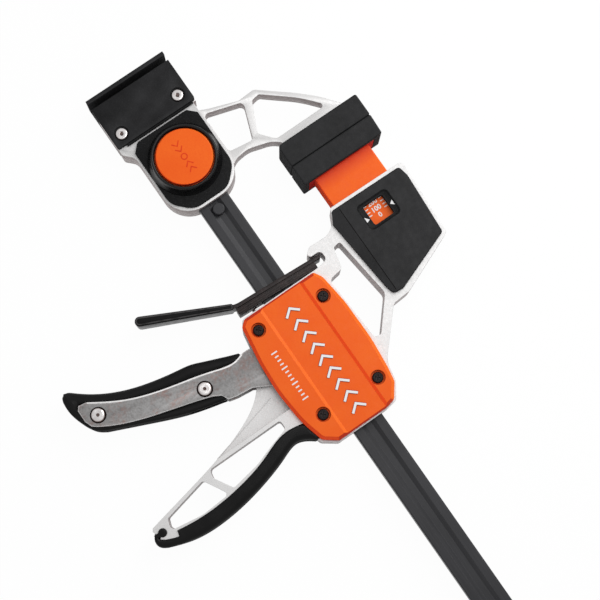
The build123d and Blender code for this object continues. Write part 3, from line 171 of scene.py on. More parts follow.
class Finish:
    """A surface shader whose patterns lie in the piece's own space."""

    def __init__(self, name, roughness, metallic=0.0, specular=0.5):
        self.material = bpy.data.materials.new(name)
        self.material.use_nodes = True
        self.tree = self.material.node_tree
        self.shader = self.tree.nodes["Principled BSDF"]
        self.shader.inputs["Roughness"].default_value = roughness
        self.shader.inputs["Metallic"].default_value = metallic
        self.shader.inputs["Specular IOR Level"].default_value = specular
        self.place = self.add("ShaderNodeTexCoord")
        self.relief = None

    def add(self, kind, **settings):
        node = self.tree.nodes.new(kind)
        for key, value in settings.items():
            setattr(node, key, value)
        return node

    def link(self, start, end):
        self.tree.links.new(start, end)

    def scaled(self, size, stretch):
        """The piece's own coordinates, counted in features of this size."""
        mapping = self.add("ShaderNodeMapping")
        self.link(self.place.outputs["Object"], mapping.inputs["Vector"])
        mapping.inputs["Scale"].default_value = [1.0 / (MM * size * way) for way in stretch]
        return mapping.outputs["Vector"]

    def noise(self, size, detail=3.0, stretch=(1, 1, 1)):
        """Cloudy noise with features of this size."""
        noise = self.add("ShaderNodeTexNoise")
        noise.inputs["Scale"].default_value = 1.0
        noise.inputs["Detail"].default_value = detail
        self.link(self.scaled(size, stretch), noise.inputs["Vector"])
        return noise.outputs["Fac"]

    def cells(self, size, feature="F1"):
        """Random cells of this size: a shade for each, and the distance inside it."""
        cells = self.add("ShaderNodeTexVoronoi", feature=feature)
        cells.inputs["Scale"].default_value = 1.0
        self.link(self.scaled(size, (1, 1, 1)), cells.inputs["Vector"])
        return cells

    def span(self, value, low, high, start=0.0, end=1.0):
        """The value spread from low..high to start..end."""
        span = self.add("ShaderNodeMapRange")
        self.link(value, span.inputs["Value"])
        for key, number in (("From Min", low), ("From Max", high), ("To Min", start), ("To Max", end)):
            span.inputs[key].default_value = number
        return span.outputs["Result"]

    def mixed(self, share, first, second):
        """One colour or the other by share. A colour is a socket or plain RGB."""
        mix = self.add("ShaderNodeMix", data_type="RGBA")
        self.link(share, mix.inputs[0])
        for socket, colour in ((mix.inputs[6], first), (mix.inputs[7], second)):
            if isinstance(colour, tuple):
                socket.default_value = (*colour, 1.0)
            else:
                self.link(colour, socket)
        return mix.outputs[2]

    def times(self, first, second):
        """Two values multiplied."""
        product = self.add("ShaderNodeMath", operation="MULTIPLY")
        self.link(first, product.inputs[0])
        self.link(second, product.inputs[1])
        return product.outputs[0]

    def along(self, axis):
        """Where the surface lies along one of the piece's own axes, in metres."""
        parts = self.add("ShaderNodeSeparateXYZ")
        self.link(self.place.outputs["Object"], parts.inputs[0])
        return parts.outputs[axis]

    def facing(self, axis):
        """How far the surface faces along one of the piece's own axes, from -1 to 1."""
        parts = self.add("ShaderNodeSeparateXYZ")
        self.link(self.place.outputs["Normal"], parts.inputs[0])
        return parts.outputs[axis]

    def lean(self, axis):
        """The same either way along the axis, from 0 to 1."""
        size = self.add("ShaderNodeMath", operation="ABSOLUTE")
        self.link(self.facing(axis), size.inputs[0])
        return size.outputs[0]

    def rims(self, reach):
        """1 near the piece's sharp edges and 0 away from them."""
        round_normal = self.add("ShaderNodeBevel", samples=4)
        round_normal.inputs["Radius"].default_value = reach * MM
        shape = self.add("ShaderNodeNewGeometry")
        same = self.add("ShaderNodeVectorMath", operation="DOT_PRODUCT")
        self.link(round_normal.outputs[0], same.inputs[0])
        self.link(shape.outputs["Normal"], same.inputs[1])
        return self.span(same.outputs["Value"], 0.995, 0.9)

    def round_edges(self, reach):
        """Shade sharp edges as if they were rounded this far."""
        bevel = self.add("ShaderNodeBevel", samples=6)
        bevel.inputs["Radius"].default_value = reach * MM
        self.relief = bevel.outputs[0]

    def paint(self, colour):
        self.link(colour, self.shader.inputs["Base Color"])

    def roughen(self, value):
        self.link(value, self.shader.inputs["Roughness"])

    def matt_walls(self, value, low=0.1, high=0.55):
        """This roughness on the faces, and a matt skin on the steep walls between them."""
        rougher = self.add("ShaderNodeMath", operation="MAXIMUM")
        self.link(value, rougher.inputs[0])
        self.link(self.span(self.lean("Z"), low, high, WALL_ROUGHNESS, 0.0), rougher.inputs[1])
        self.roughen(rougher.outputs[0])

    def emboss(self, height, depth):
        """Relief of this depth."""
        bump = self.add("ShaderNodeBump")
        bump.inputs["Distance"].default_value = depth * MM
        self.link(height, bump.inputs["Height"])
        if self.relief:
            self.link(self.relief, bump.inputs["Normal"])
        self.relief = bump.outputs["Normal"]
        self.link(self.relief, self.shader.inputs["Normal"])

    def mottle(self, cloud, dark, light, skin, relief):
        """Clouds of two colours, with a skin and a relief of their own.

        The clouds have a size and a detail, the skin also its least and most roughness, and
        the relief its depth."""
        self.paint(self.mixed(self.span(self.noise(*cloud), 0.35, 0.65), dark, light))
        size, detail, low, high = skin
        self.roughen(self.span(self.noise(size, detail), 0.3, 0.7, low, high))
        size, detail, depth = relief
        self.emboss(self.noise(size, detail), depth)
        return self.material


def moulded_plastic(name, dark, light, gloss, edge=0.25):
    """Charcoal glass-filled nylon with the spark texture of its mould."""
    finish = Finish(name, 0.5, specular=gloss)
    finish.round_edges(edge)
    cloud = finish.noise(14.0, 4.0)
    grain = finish.noise(0.42, 2.0)
    rims = finish.rims(0.5)
    body = finish.mixed(finish.span(cloud, 0.3, 0.7), dark, light)
    body = finish.mixed(finish.span(grain, 0.56, 0.72, 0.0, 0.5), body, (0.04, 0.04, 0.042))
    # Lighter sharp edges: worn plastic and a painted highlight.
    wear_and_sheen = finish.times(rims, finish.span(cloud, 0.4, 0.7, 0.2, 0.7))
    finish.paint(finish.mixed(wear_and_sheen, body, (0.045, 0.045, 0.047)))
    finish.matt_walls(finish.span(finish.noise(3.0), 0.3, 0.7, 0.42, 0.58))
    finish.emboss(grain, 0.05)
    return finish.material


def glossy_plastic():
    """Black moulding with a polished skin."""
    finish = Finish("glossy_plastic", 0.25, specular=0.2)
    cloud = finish.noise(9.0, 4.0)
    finish.paint(finish.mixed(finish.span(cloud, 0.3, 0.7), (0.0035, 0.0035, 0.0038), (0.006, 0.006, 0.0064)))
    finish.matt_walls(finish.span(finish.noise(2.0), 0.3, 0.7, 0.2, 0.34), 0.0, 0.3)
    finish.emboss(finish.noise(0.5, 2.0), 0.01)
    return finish.material


def casting_metal():
    """Tumbled zinc casting: bright ground faces, and rougher walls painted a darker brownish grey as painted
    shade.
    """
    finish = Finish("casting_metal", 0.42, metallic=0.2, specular=0.3)
    cloud = finish.noise(11.0, 5.0)
    grain = finish.noise(0.35, 3.0)
    face = finish.mixed(finish.span(cloud, 0.3, 0.7), (0.66, 0.65, 0.648), (0.59, 0.58, 0.577))
    face = finish.mixed(finish.span(grain, 0.35, 0.65), face, (0.69, 0.685, 0.68))
    pits = finish.span(finish.noise(2.5, 4.0), 0.3, 0.7)
    # Painted shade: the steep walls get a darker, browner grey, mottled like pits.
    shaded_wall = finish.mixed(pits, (0.30, 0.252, 0.247), (0.42, 0.368, 0.362))
    both = finish.mixed(finish.span(finish.lean("Z"), 0.45, 0.9), shaded_wall, face)
    # Sharp edges painted lighter: worn metal and a painted highlight.
    finish.paint(finish.mixed(finish.span(finish.rims(0.4), 0.0, 1.0, 0.0, 0.4), both, (0.74, 0.73, 0.725)))
    finish.roughen(finish.span(finish.noise(1.2, 4.0), 0.3, 0.7, 0.36, 0.52))
    finish.round_edges(0.35)
    finish.emboss(grain, 0.02)
    finish.emboss(finish.noise(6.0, 3.0), 0.05)
    return finish.material


def orange_moulding(name, grain_size, grain_depth, shade=None):
    """Orange plastic, painted deep red on its ends as painted shade, redder and brighter on the slopes that
    face the handles and lighter on those that face the jaws as painted light.

    Between the two shade distances along the bar it fades from a painted red shadow of the pad to its own
    colour."""
    finish = Finish(name, 0.42, specular=0.12)
    cloud = finish.noise(16.0, 4.0)
    grain = finish.noise(grain_size, 2.0)
    face = finish.mixed(finish.span(cloud, 0.3, 0.7), (0.87, 0.118, 0.010), (0.90, 0.142, 0.013))
    face = finish.mixed(finish.span(grain, 0.35, 0.7, 0.0, 0.45), face, (0.83, 0.098, 0.009))
    # Painted light: slopes facing the handles brighter red, slopes facing the jaws lighter orange.
    face = finish.mixed(finish.span(finish.facing("Y"), -0.12, -0.5), face, (1.0, 0.08, 0.014))
    face = finish.mixed(finish.span(finish.facing("Y"), 0.12, 0.5, 0.0, 0.5), face, (0.94, 0.19, 0.016))
    if shade:
        # Painted shadow of the pad, fading along the bar.
        along = finish.span(finish.along("X"), shade[0] * MM, shade[1] * MM, 0.85, 0.0)
        face = finish.mixed(along, face, (0.68, 0.04, 0.012))
    # Painted shade: the ends turn deep red.
    finish.paint(finish.mixed(finish.span(finish.lean("X"), 0.56, 0.74), face, (0.47, 0.018, 0.014)))
    finish.matt_walls(finish.span(finish.noise(2.5), 0.3, 0.7, 0.36, 0.5))
    finish.round_edges(0.3)
    finish.emboss(grain, grain_depth)
    return finish.material


def black_bar():
    """Bar stock with a satin black oxide, drawn lengthwise."""
    finish = Finish("black_bar", 0.4, metallic=0.12, specular=0.22)
    streak = finish.noise(0.5, 4.0, (60, 1, 1))
    cloud = finish.noise(20.0, 4.0, (2, 1, 1))
    body = finish.mixed(finish.span(cloud, 0.3, 0.7), (0.021, 0.021, 0.023), (0.03, 0.03, 0.033))
    body = finish.mixed(finish.span(streak, 0.45, 0.75, 0.0, 0.5), body, (0.048, 0.048, 0.051))
    finish.paint(finish.mixed(finish.span(finish.rims(0.5), 0.0, 1.0, 0.0, 0.5), body, (0.085, 0.085, 0.09)))
    finish.roughen(finish.span(streak, 0.3, 0.7, 0.32, 0.5))
    finish.emboss(streak, 0.02)
    return finish.material


def black_strip():
    """Blackened spring-steel strip with a brown bloom."""
    finish = Finish("black_strip", 0.42, metallic=0.2, specular=0.2)
    cloud = finish.noise(4.0, 5.0)
    body = finish.mixed(finish.span(cloud, 0.35, 0.65), (0.008, 0.0062, 0.0062), (0.022, 0.0155, 0.015))
    body = finish.mixed(finish.span(finish.noise(0.6, 3.0), 0.55, 0.8, 0.0, 0.6), body, (0.042, 0.031, 0.03))
    finish.paint(finish.mixed(finish.span(finish.rims(0.4), 0.0, 1.0, 0.0, 0.6), body, (0.1, 0.085, 0.08)))
    finish.roughen(finish.span(finish.noise(1.5, 4.0), 0.3, 0.7, 0.34, 0.56))
    finish.emboss(finish.noise(0.5, 3.0), 0.02)
    return finish.material


def galvanised_sheet():
    """Zinc-plated sheet: mottled grey with rusty bloom, and sharp edges painted bright as sheared metal and a
    painted highlight.
    """
    finish = Finish("galvanised_sheet", 0.42, metallic=0.35, specular=0.4)
    spangle = finish.cells(2.6)
    fine = finish.noise(0.9, 5.0)
    cloud = finish.noise(9.0, 4.0)
    shade = finish.mixed(finish.span(fine, 0.32, 0.68), (0.165, 0.16, 0.158), (0.275, 0.27, 0.268))
    glint = finish.span(spangle.outputs["Distance"], 0.1, 0.7, 0.0, 0.35)
    shade = finish.mixed(glint, shade, (0.33, 0.325, 0.325))
    bloom = finish.times(finish.span(cloud, 0.46, 0.64), finish.span(finish.noise(1.6, 4.0), 0.4, 0.6))
    shade = finish.mixed(finish.span(bloom, 0.0, 1.0, 0.0, 0.6), shade, (0.24, 0.135, 0.115))
    # Bright sharp edges: sheared metal and a painted highlight.
    finish.paint(finish.mixed(finish.span(finish.rims(1.0), 0.0, 1.0, 0.0, 0.9), shade, (0.8, 0.79, 0.79)))
    finish.roughen(finish.span(fine, 0.3, 0.7, 0.34, 0.54))
    finish.emboss(fine, 0.03)
    return finish.material


def bright_metal():
    """Nickel-plated screws and rivets, painted dark brown where their rims turn down, as painted reflection
    and shade.
    """
    finish = Finish("bright_metal", 0.18, metallic=0.92, specular=0.5)
    cloud = finish.noise(2.5, 4.0)
    body = finish.mixed(finish.span(cloud, 0.35, 0.65), (0.5, 0.475, 0.47), (0.66, 0.64, 0.63))
    # Painted reflection and shade: dark brown on the steep rims.
    painted_rim = finish.mixed(finish.span(cloud, 0.4, 0.6), (0.09, 0.045, 0.034), (0.18, 0.115, 0.1))
    finish.paint(finish.mixed(finish.span(finish.lean("Z"), 0.62, 0.92), painted_rim, body))
    finish.roughen(finish.span(finish.noise(0.8, 4.0), 0.3, 0.7, 0.15, 0.3))
    finish.emboss(finish.noise(0.4, 3.0), 0.01)
    return finish.material


def black_screw():
    """Phosphated screws."""
    finish = Finish("phosphate", 0.4, metallic=0.1, specular=0.12)
    cloud = finish.span(finish.noise(1.2, 4.0), 0.35, 0.65)
    body = finish.mixed(cloud, (0.004, 0.003, 0.003), (0.011, 0.006, 0.006))
    finish.paint(finish.mixed(finish.span(finish.rims(0.3), 0.0, 1.0, 0.0, 0.7), body, (0.11, 0.075, 0.07)))
    finish.roughen(finish.span(finish.noise(0.7, 3.0), 0.3, 0.7, 0.3, 0.48))
    finish.emboss(finish.noise(0.3, 2.0), 0.01)
    return finish.material


def sheared_rim_and_highlight():
    """Bright zinc on the sheared edge of the trigger's plates, which also serves as a painted highlight."""
    finish = Finish("sheared_rim_and_highlight", 0.4, metallic=0.2, specular=0.4)
    dark, light = (0.72, 0.71, 0.7), (0.84, 0.83, 0.825)
    return finish.mottle((2.0, 4.0), dark, light, (0.8, 3.0, 0.3, 0.5), (0.4, 2.0, 0.01))


def spring_wire():
    """Bright drawn spring wire."""
    finish = Finish("spring_wire", 0.3, metallic=0.9, specular=0.5)
    dark, light = (0.4, 0.39, 0.38), (0.55, 0.54, 0.53)
    return finish.mottle((1.5, 4.0), dark, light, (0.6, 3.0, 0.24, 0.4), (0.3, 2.0, 0.01))


def copper_wire():
    """Rust-brown coating of the brake spring."""
    finish = Finish("copper_wire", 0.45, metallic=0.3, specular=0.3)
    dark, light = (0.05, 0.028, 0.026), (0.11, 0.07, 0.066)
    return finish.mottle((1.5, 4.0), dark, light, (0.6, 3.0, 0.4, 0.55), (0.3, 2.0, 0.01))


def soft_rubber():
    """Matt black rubber of the trigger's grip."""
    finish = Finish("soft_rubber", 0.5, specular=0.1)
    cloud = finish.noise(10.0, 4.0)
    grain = finish.noise(0.3, 2.0)
    body = finish.mixed(finish.span(cloud, 0.3, 0.7), (0.0036, 0.0036, 0.0038), (0.0068, 0.0066, 0.0066))
    finish.paint(finish.mixed(finish.span(grain, 0.55, 0.75, 0.0, 0.5), body, (0.013, 0.0125, 0.0125)))
    finish.matt_walls(finish.span(finish.noise(2.0), 0.3, 0.7, 0.4, 0.55))
    finish.emboss(grain, 0.03)
    return finish.material


def dipped_vinyl():
    """Glossy black vinyl of the handle's grip and the lever's sleeve."""
    finish = Finish("dipped_vinyl", 0.3, specular=0.12)
    cloud = finish.noise(12.0, 4.0)
    share = finish.span(cloud, 0.3, 0.7)
    finish.paint(finish.mixed(share, (0.0018, 0.0018, 0.0019), (0.0045, 0.0043, 0.0044)))
    finish.matt_walls(finish.span(finish.noise(4.0), 0.3, 0.7, 0.24, 0.36))
    finish.emboss(finish.noise(7.0, 3.0), 0.06)
    return finish.material


def sleeve_vinyl():
    """The sleeve's vinyl, with a pale painted highlight along its rounded rims."""
    finish = Finish("sleeve_vinyl", 0.3, specular=0.09)
    cloud = finish.span(finish.noise(12.0), 0.3, 0.7)
    body = finish.mixed(cloud, (0.0022, 0.0022, 0.0023), (0.005, 0.0048, 0.0049))
    # Painted highlight: a pale line on the rounded rims, broken up by noise.
    painted_rim = finish.times(finish.span(finish.lean("Z"), 0.96, 0.9), finish.span(finish.lean("Z"), 0.66, 0.8))
    wear_and_sheen = finish.times(painted_rim, finish.span(finish.noise(5.0), 0.35, 0.5, 0.35, 1.0))
    finish.paint(finish.mixed(wear_and_sheen, body, (0.075, 0.072, 0.072)))
    finish.roughen(finish.span(finish.noise(4.0), 0.3, 0.7, 0.24, 0.36))
    finish.emboss(finish.noise(7.0, 3.0), 0.04)
    return finish.material


def white_print():
    """White pad print, a little worn."""
    finish = Finish("white_print", 0.5, specular=0.2)
    wear = finish.noise(0.8, 4.0)
    finish.paint(finish.mixed(finish.span(wear, 0.6, 0.8, 0.0, 0.5), (0.8, 0.8, 0.8), (0.62, 0.56, 0.54)))
    finish.roughen(finish.span(finish.noise(1.5), 0.3, 0.7, 0.4, 0.6))
    finish.emboss(finish.noise(0.4, 2.0), 0.01)
    return finish.material


def raised_white():
    """White ink on raised marks; their steep walls are painted dark red as painted shade."""
    finish = Finish("raised_white", 0.45, specular=0.2)
    wear = finish.noise(0.8, 4.0)
    top = finish.mixed(finish.span(wear, 0.6, 0.8, 0.0, 0.5), (0.82, 0.82, 0.83), (0.7, 0.62, 0.6))
    # Painted shade: the marks' steep walls are dark red.
    finish.paint(finish.mixed(finish.span(finish.lean("Z"), 0.5, 0.9), (0.05, 0.012, 0.012), top))
    finish.roughen(finish.span(finish.noise(1.5), 0.3, 0.7, 0.38, 0.55))
    finish.emboss(finish.noise(0.4, 2.0), 0.01)
    return finish.material


def groove_shade():
    """Near-black painted shade for narrow creases and for the rings round the trigger's rivets."""
    finish = Finish("groove_shade", 0.8, specular=0.02)
    dark, light = (0.0035, 0.003, 0.003), (0.007, 0.006, 0.006)
    return finish.mottle((1.5, 3.0), dark, light, (0.8, 3.0, 0.7, 0.9), (0.4, 2.0, 0.01))


def socket_shade():
    """Brown painted shade at the bottom of a screw's socket."""
    finish = Finish("socket_shade", 0.6, specular=0.05)
    dark, light = (0.06, 0.035, 0.03), (0.16, 0.12, 0.11)
    return finish.mottle((0.8, 3.0), dark, light, (0.5, 3.0, 0.5, 0.75), (0.3, 2.0, 0.01))


def mark_shade():
    """Dark red painted shade at the foot of the raised marks."""
    finish = Finish("mark_shade", 0.6, specular=0.04)
    dark, light = (0.3, 0.022, 0.009), (0.42, 0.036, 0.011)
    return finish.mottle((1.5, 3.0), dark, light, (0.8, 3.0, 0.5, 0.7), (0.4, 2.0, 0.01))


def red_groove_shade():
    """A deeper orange painted as the shade in a moulded line."""
    finish = Finish("red_groove_shade", 0.45, specular=0.1)
    dark, light = (0.66, 0.042, 0.008), (0.74, 0.06, 0.009)
    return finish.mottle((2.0, 3.0), dark, light, (1.0, 3.0, 0.38, 0.55), (0.5, 2.0, 0.02))


# ---------------------------------------------------------------- CAD nodes
def smooth_faces():
    """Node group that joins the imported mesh's split edges and shades it smooth."""
    group = bpy.data.node_groups.new("smooth_faces", "GeometryNodeTree")
    group.interface.new_socket("Geometry", in_out="INPUT", socket_type="NodeSocketGeometry")
    group.interface.new_socket("Geometry", in_out="OUTPUT", socket_type="NodeSocketGeometry")
    start = group.nodes.new("NodeGroupInput")
    merge = group.nodes.new("GeometryNodeMergeByDistance")
    merge.inputs["Distance"].default_value = 0.002 * MM
    smooth = group.nodes.new("GeometryNodeSetShadeSmooth")
    end = group.nodes.new("NodeGroupOutput")
    group.links.new(start.outputs[0], merge.inputs["Geometry"])
    group.links.new(merge.outputs[0], smooth.inputs["Geometry"])
    group.links.new(smooth.outputs[0], end.inputs[0])
    return group


SMOOTH = smooth_faces()


def soften(obj, width, angle=20.0, segments=2):
    """Round an object's sharp edges by this width."""
    join = obj.modifiers.new("join", "NODES")
    join.node_group = SMOOTH
    flat = obj.modifiers.new("flat", "DECIMATE")
    flat.decimate_type = "DISSOLVE"
    flat.angle_limit = math.radians(0.5)
    bevel = obj.modifiers.new("bevel", "BEVEL")
    bevel.width = width * MM
    bevel.segments = segments
    bevel.limit_method = "ANGLE"
    bevel.angle_limit = math.radians(angle)
    bevel.use_clamp_overlap = False
    bevel.harden_normals = True
    bevel.miter_outer = "MITER_ARC"


def dress(names, material, width=0.25):
    """Give CAD nodes a material and soft edges."""
    for name in names:
        obj = NODES[name]
        obj.data.materials.clear()
        obj.data.materials.append(material)
        if width:
            soften(obj, width)


def dress_nodes():
    """Materials for the nodes that show as they are."""
    casting = casting_metal()
    dress(["fixed_jaw"], casting, 0.15)
    dress(["frame"], casting, 0.0)
    dress(["head_back_cover"], HEAD_PLASTIC, 0.0)
    charcoal = moulded_plastic("charcoal_plastic", (0.012, 0.012, 0.0125), (0.019, 0.019, 0.02), 0.12)
    shoe = moulded_plastic("shoe_plastic", (0.0085, 0.0085, 0.009), (0.023, 0.023, 0.0245), 0.12)
    dress(["connector"], shoe, 0.15)
    dress(["gauge_cover", "gauge_back_cover"], charcoal, 0.0)
    pads = moulded_plastic("pad_plastic", (0.0105, 0.0105, 0.011), (0.0165, 0.0165, 0.0175), 0.12, 0.9)
    dress(["fixed_pad", "moving_pad"], pads, 0.0)
    dress(["front_cover", "rear_cover"], orange_moulding("orange_cover", 0.5, 0.05), 0.0)
    dress(["release_button"], orange_moulding("orange_button", 0.8, 0.02), 0.0)
    dress(["plunger"], orange_moulding("orange_plunger", 0.8, 0.008, (-80.5, -72.5)), 0.0)
    zinc = galvanised_sheet()
    dress(["trigger_plate_front", "trigger_plate_rear"], zinc, 0.3)
    dress(["drive_plate_1", "drive_plate_2", "drive_roller", "lock_pin", "trigger_pivot"], zinc, 0.0)
    dress(["connector_screws", "trigger_rivets"], bright_metal(), 0.0)
    dress(["release_lever", "brake_plate_1", "brake_plate_2", "brake_plate_3"], black_strip(), 0.12)
    dress(["cover_screws", "head_cover_screws"], black_screw(), 0.0)
    dress(["button_spring", "drive_spring", "force_springs"], SPRING_WIRE, 0.0)
    dress(["brake_spring"], copper_wire(), 0.0)
    dress(["bar", "stop_pins"], black_bar(), 0.0)


# ---------------------------------------------------------------- shapes
def spline(points, steps=10):
    """A smooth curve through the points, as the part's own splines run."""
    spots = np.array(points, float)
    gaps = np.linalg.norm(np.diff(spots, axis=0), axis=1)
    last = len(spots) - 1
    matrix = np.eye(last + 1)
    bend = np.zeros_like(spots)
    for i in range(1, last):
        matrix[i, i - 1 : i + 2] = gaps[i - 1], 2 * (gaps[i - 1] + gaps[i]), gaps[i]
        bend[i] = 6 * ((spots[i + 1] - spots[i]) / gaps[i] - (spots[i] - spots[i - 1]) / gaps[i - 1])
    curve = np.linalg.solve(matrix, bend)
    line = []
    for i, gap in enumerate(gaps):
        for step in range(steps):
            b = step / steps
            a = 1.0 - b
            sag = ((a**3 - a) * curve[i] + (b**3 - b) * curve[i + 1]) * gap * gap / 6
            line.append(tuple(a * spots[i] + b * spots[i + 1] + sag))
    line.append(tuple(spots[-1]))
    return line


def corner(before, point, after, radius, step=9.0):
    """The arc that rounds one corner."""
    here = Vector(point)
    back = (Vector(before) - here).normalized()
    ahead = (Vector(after) - here).normalized()
    half = back.angle(ahead) / 2
    if radius <= 0 or half > math.pi / 2 - 0.02:
        return [tuple(here)]
    reach = radius / math.tan(half)
    centre = here + (back + ahead).normalized() * radius / math.sin(half)
    start = here + back * reach - centre
    end = here + ahead * reach - centre
    sweep = start.angle(end)
    turn = 1.0 if start.x * end.y - start.y * end.x > 0 else -1.0
    count = max(1, round(math.degrees(sweep) / step))
    first = math.atan2(start.y, start.x)
    angles = [first + turn * sweep * i / count for i in range(count + 1)]
    return [(centre.x + radius * math.cos(a), centre.y + radius * math.sin(a)) for a in angles]


def rounded(points, radii, step=9.0):
    """A closed outline through the points with rounded corners."""
    line = []
    for i, point in enumerate(points):
        line += corner(points[i - 1], point, points[(i + 1) % len(points)], radii[i], step)
    return line


def even(points, gap):
    """The closed outline with points about this far apart, and none doubled."""
    dense = []
    for i, point in enumerate(points):
        here, after = Vector(point), Vector(points[(i + 1) % len(points)])
        length = (after - here).length
        if length < 0.02:
            continue
        count = max(1, round(length / gap))
        dense += [tuple(here.lerp(after, k / count)) for k in range(count)]
    return dense


def counterclockwise(points):
    area = sum(a[0] * b[1] - b[0] * a[1] for a, b in zip(points, points[1:] + points[:1]))
    return points if area > 0 else points[::-1]


def inward(points):
    """The unit normals of a counterclockwise outline, pointing inside."""
    spots = np.array(points)
    along = np.roll(spots, -1, axis=0) - np.roll(spots, 1, axis=0)
    along /= np.linalg.norm(along, axis=1)[:, None]
    return np.stack([-along[:, 1], along[:, 0]], axis=1)


def rooms(points, normals, most):
    """How far each point can move inside before it meets the outline's far side."""
    spots = np.array(points)
    reach = np.full(len(spots), most)
    for i, (spot, normal) in enumerate(zip(spots, normals)):
        away = spots - spot
        depth = away @ normal
        square = (away**2).sum(axis=1)
        ahead = depth > 0.05
        if ahead.any():
            reach[i] = min(most, (square[ahead] / (2 * depth[ahead])).min() * 0.92)
    for _ in range(4):
        reach = np.minimum(reach, (np.roll(reach, 1) + reach + np.roll(reach, -1)) / 3)
    return reach


def finish_piece(name, mesh, material, body, smooth=True):
    """Link a new piece, give it its material and let it ride on a body."""
    for face in mesh.polygons:
        face.use_smooth = smooth
    mesh.materials.clear()
    mesh.materials.append(material)
    piece = bpy.data.objects.new(name, mesh)
    bpy.context.scene.collection.objects.link(piece)
    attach(piece, body)
    return piece


def slab(points, low, high, rounding, steps=5):
    """A plate between two heights whose rims are rounded; rounding may differ from point to point."""
    points = counterclockwise(points)
    normals = inward(points)
    spots = np.array(points)
    wanted = np.array(rounding if hasattr(rounding, "__len__") else [rounding] * len(points), float)
    reach = np.minimum(wanted, rooms(points, normals, float(wanted.max())))
    build = bmesh.new()
    rings = []
    for side, base in ((-1, low), (1, high)):
        levels = range(steps, -1, -1) if side < 0 else range(steps + 1)
        for k in levels:
            angle = math.pi / 2 * k / steps
            inset = spots + normals * (reach * (1 - math.cos(angle)))[:, None]
            height = base - side * reach * (1 - math.sin(angle))
            rings.append([build.verts.new((x * MM, y * MM, z * MM)) for (x, y), z in zip(inset, height)])
    for lower, upper in zip(rings, rings[1:]):
        for i in range(len(lower)):
            j = (i + 1) % len(lower)
            build.faces.new((lower[i], lower[j], upper[j], upper[i]))
    for ring, flip in ((rings[0], True), (rings[-1], False)):
        flat = [Vector((v.co.x, v.co.y, 0.0)) for v in ring]
        for triangle in geometry.tessellate_polygon([flat]):
            corners = [ring[k] for k in triangle]
            cross = (flat[triangle[1]] - flat[triangle[0]]).cross(flat[triangle[2]] - flat[triangle[0]]).z
            if (cross > 0) == flip:
                corners.reverse()
            if len(set(corners)) == 3 and abs(cross) > 1e-12:
                build.faces.new(corners)
    return build


def to_mesh(build, name):
    mesh = bpy.data.meshes.new(name)
    build.normal_update()
    build.to_mesh(mesh)
    build.free()
    return mesh


def cut(mesh, cutters):
    """The mesh with the cutters' meshes taken away."""
    scratch = bpy.data.objects.new("scratch", mesh)
    bpy.context.scene.collection.objects.link(scratch)
    tools = []
    for cutter in cutters:
        tool = bpy.data.objects.new("tool", cutter)
        bpy.context.scene.collection.objects.link(tool)
        tools.append(tool)
        carve = scratch.modifiers.new("carve", "BOOLEAN")
        carve.operation = "DIFFERENCE"
        carve.solver = "EXACT"
        carve.object = tool
    graph = bpy.context.evaluated_depsgraph_get()
    carved = bpy.data.meshes.new_from_object(scratch.evaluated_get(graph))
    for item in (scratch, *tools):
        bpy.data.objects.remove(item)
    return carved


def welded(node):
    """A closed copy of a CAD node's mesh, for cutting with."""
    build = bmesh.new()
    build.from_mesh(NODES[node].data)
    bmesh.ops.remove_doubles(build, verts=build.verts, dist=0.002 * MM)
    mesh = bpy.data.meshes.new(node + "_copy")
    build.to_mesh(mesh)
    build.free()
    return mesh


def crisp(piece, angle=35.0):
    """Smooth shading with edges sharper than this kept sharp."""
    piece.data.set_sharp_from_angle(angle=math.radians(angle))


def prism(outlines, low, high):
    """Straight-sided solids between two heights, all in one mesh."""
    build = bmesh.new()
    for outline in outlines:
        points = counterclockwise(outline)
        rings = [[build.verts.new((x * MM, y * MM, z * MM)) for x, y in points] for z in (low, high)]
        for i in range(len(points)):
            j = (i + 1) % len(points)
            build.faces.new((rings[0][i], rings[0][j], rings[1][j], rings[1][i]))
        build.faces.new(rings[0][::-1])
        build.faces.new(rings[1])
    return to_mesh(build, "prism")


def stroke(line, width):
    """The closed outline of a line drawn this wide, with mitred bends."""
    spots = [Vector(point) for point in line]
    left, right = [], []
    for i, spot in enumerate(spots):
        back = (spot - spots[max(i - 1, 0)]) if i else spots[1] - spots[0]
        ahead = (spots[i + 1] - spot) if i + 1 < len(spots) else back
        across = [Vector((-way.y, way.x)).normalized() for way in (back, ahead)]
        side = (across[0] + across[1]).normalized()
        side *= width / 2 / max(0.4, side.dot(across[1]))
        left.append(tuple(spot + side))
        right.append(tuple(spot - side))
    return left + right[::-1]


def block(centre, size, corner_radius=0.0):
    """A rectangle's outline, square to the bar, with rounded corners."""
    x, y = size[0] / 2, size[1] / 2
    corners = [(-x, -y), (x, -y), (x, y), (-x, y)]
    return rounded([(centre[0] + a, centre[1] + b) for a, b in corners], [corner_radius] * 4)


def loop_stack(outlines, heights, name):
    """A closed band through outlines that have the same number of points, at these heights."""
    build = bmesh.new()
    rings = []
    for outline, height in zip(outlines, heights):
        rings.append([build.verts.new((x * MM, y * MM, height * MM)) for x, y in outline])
    for ring, after in zip(rings, rings[1:] + rings[:1]):
        for i in range(len(ring)):
            j = (i + 1) % len(ring)
            build.faces.new((ring[i], ring[j], after[j], after[i]))
    bmesh.ops.recalc_face_normals(build, faces=build.faces)
    return to_mesh(build, name)


def merged(meshes, name):
    """Several meshes as one."""
    build = bmesh.new()
    for mesh in meshes:
        build.from_mesh(mesh)
    return to_mesh(build, name)


def flipped(mesh):
    """The mesh mirrored in the clamp's middle plane."""
    twin = mesh.copy()
    twin.transform(Matrix.Translation((0, 0, 2 * MID_Z * MM)) @ Matrix.Diagonal((1, 1, -1, 1)))
    twin.flip_normals()
    return twin


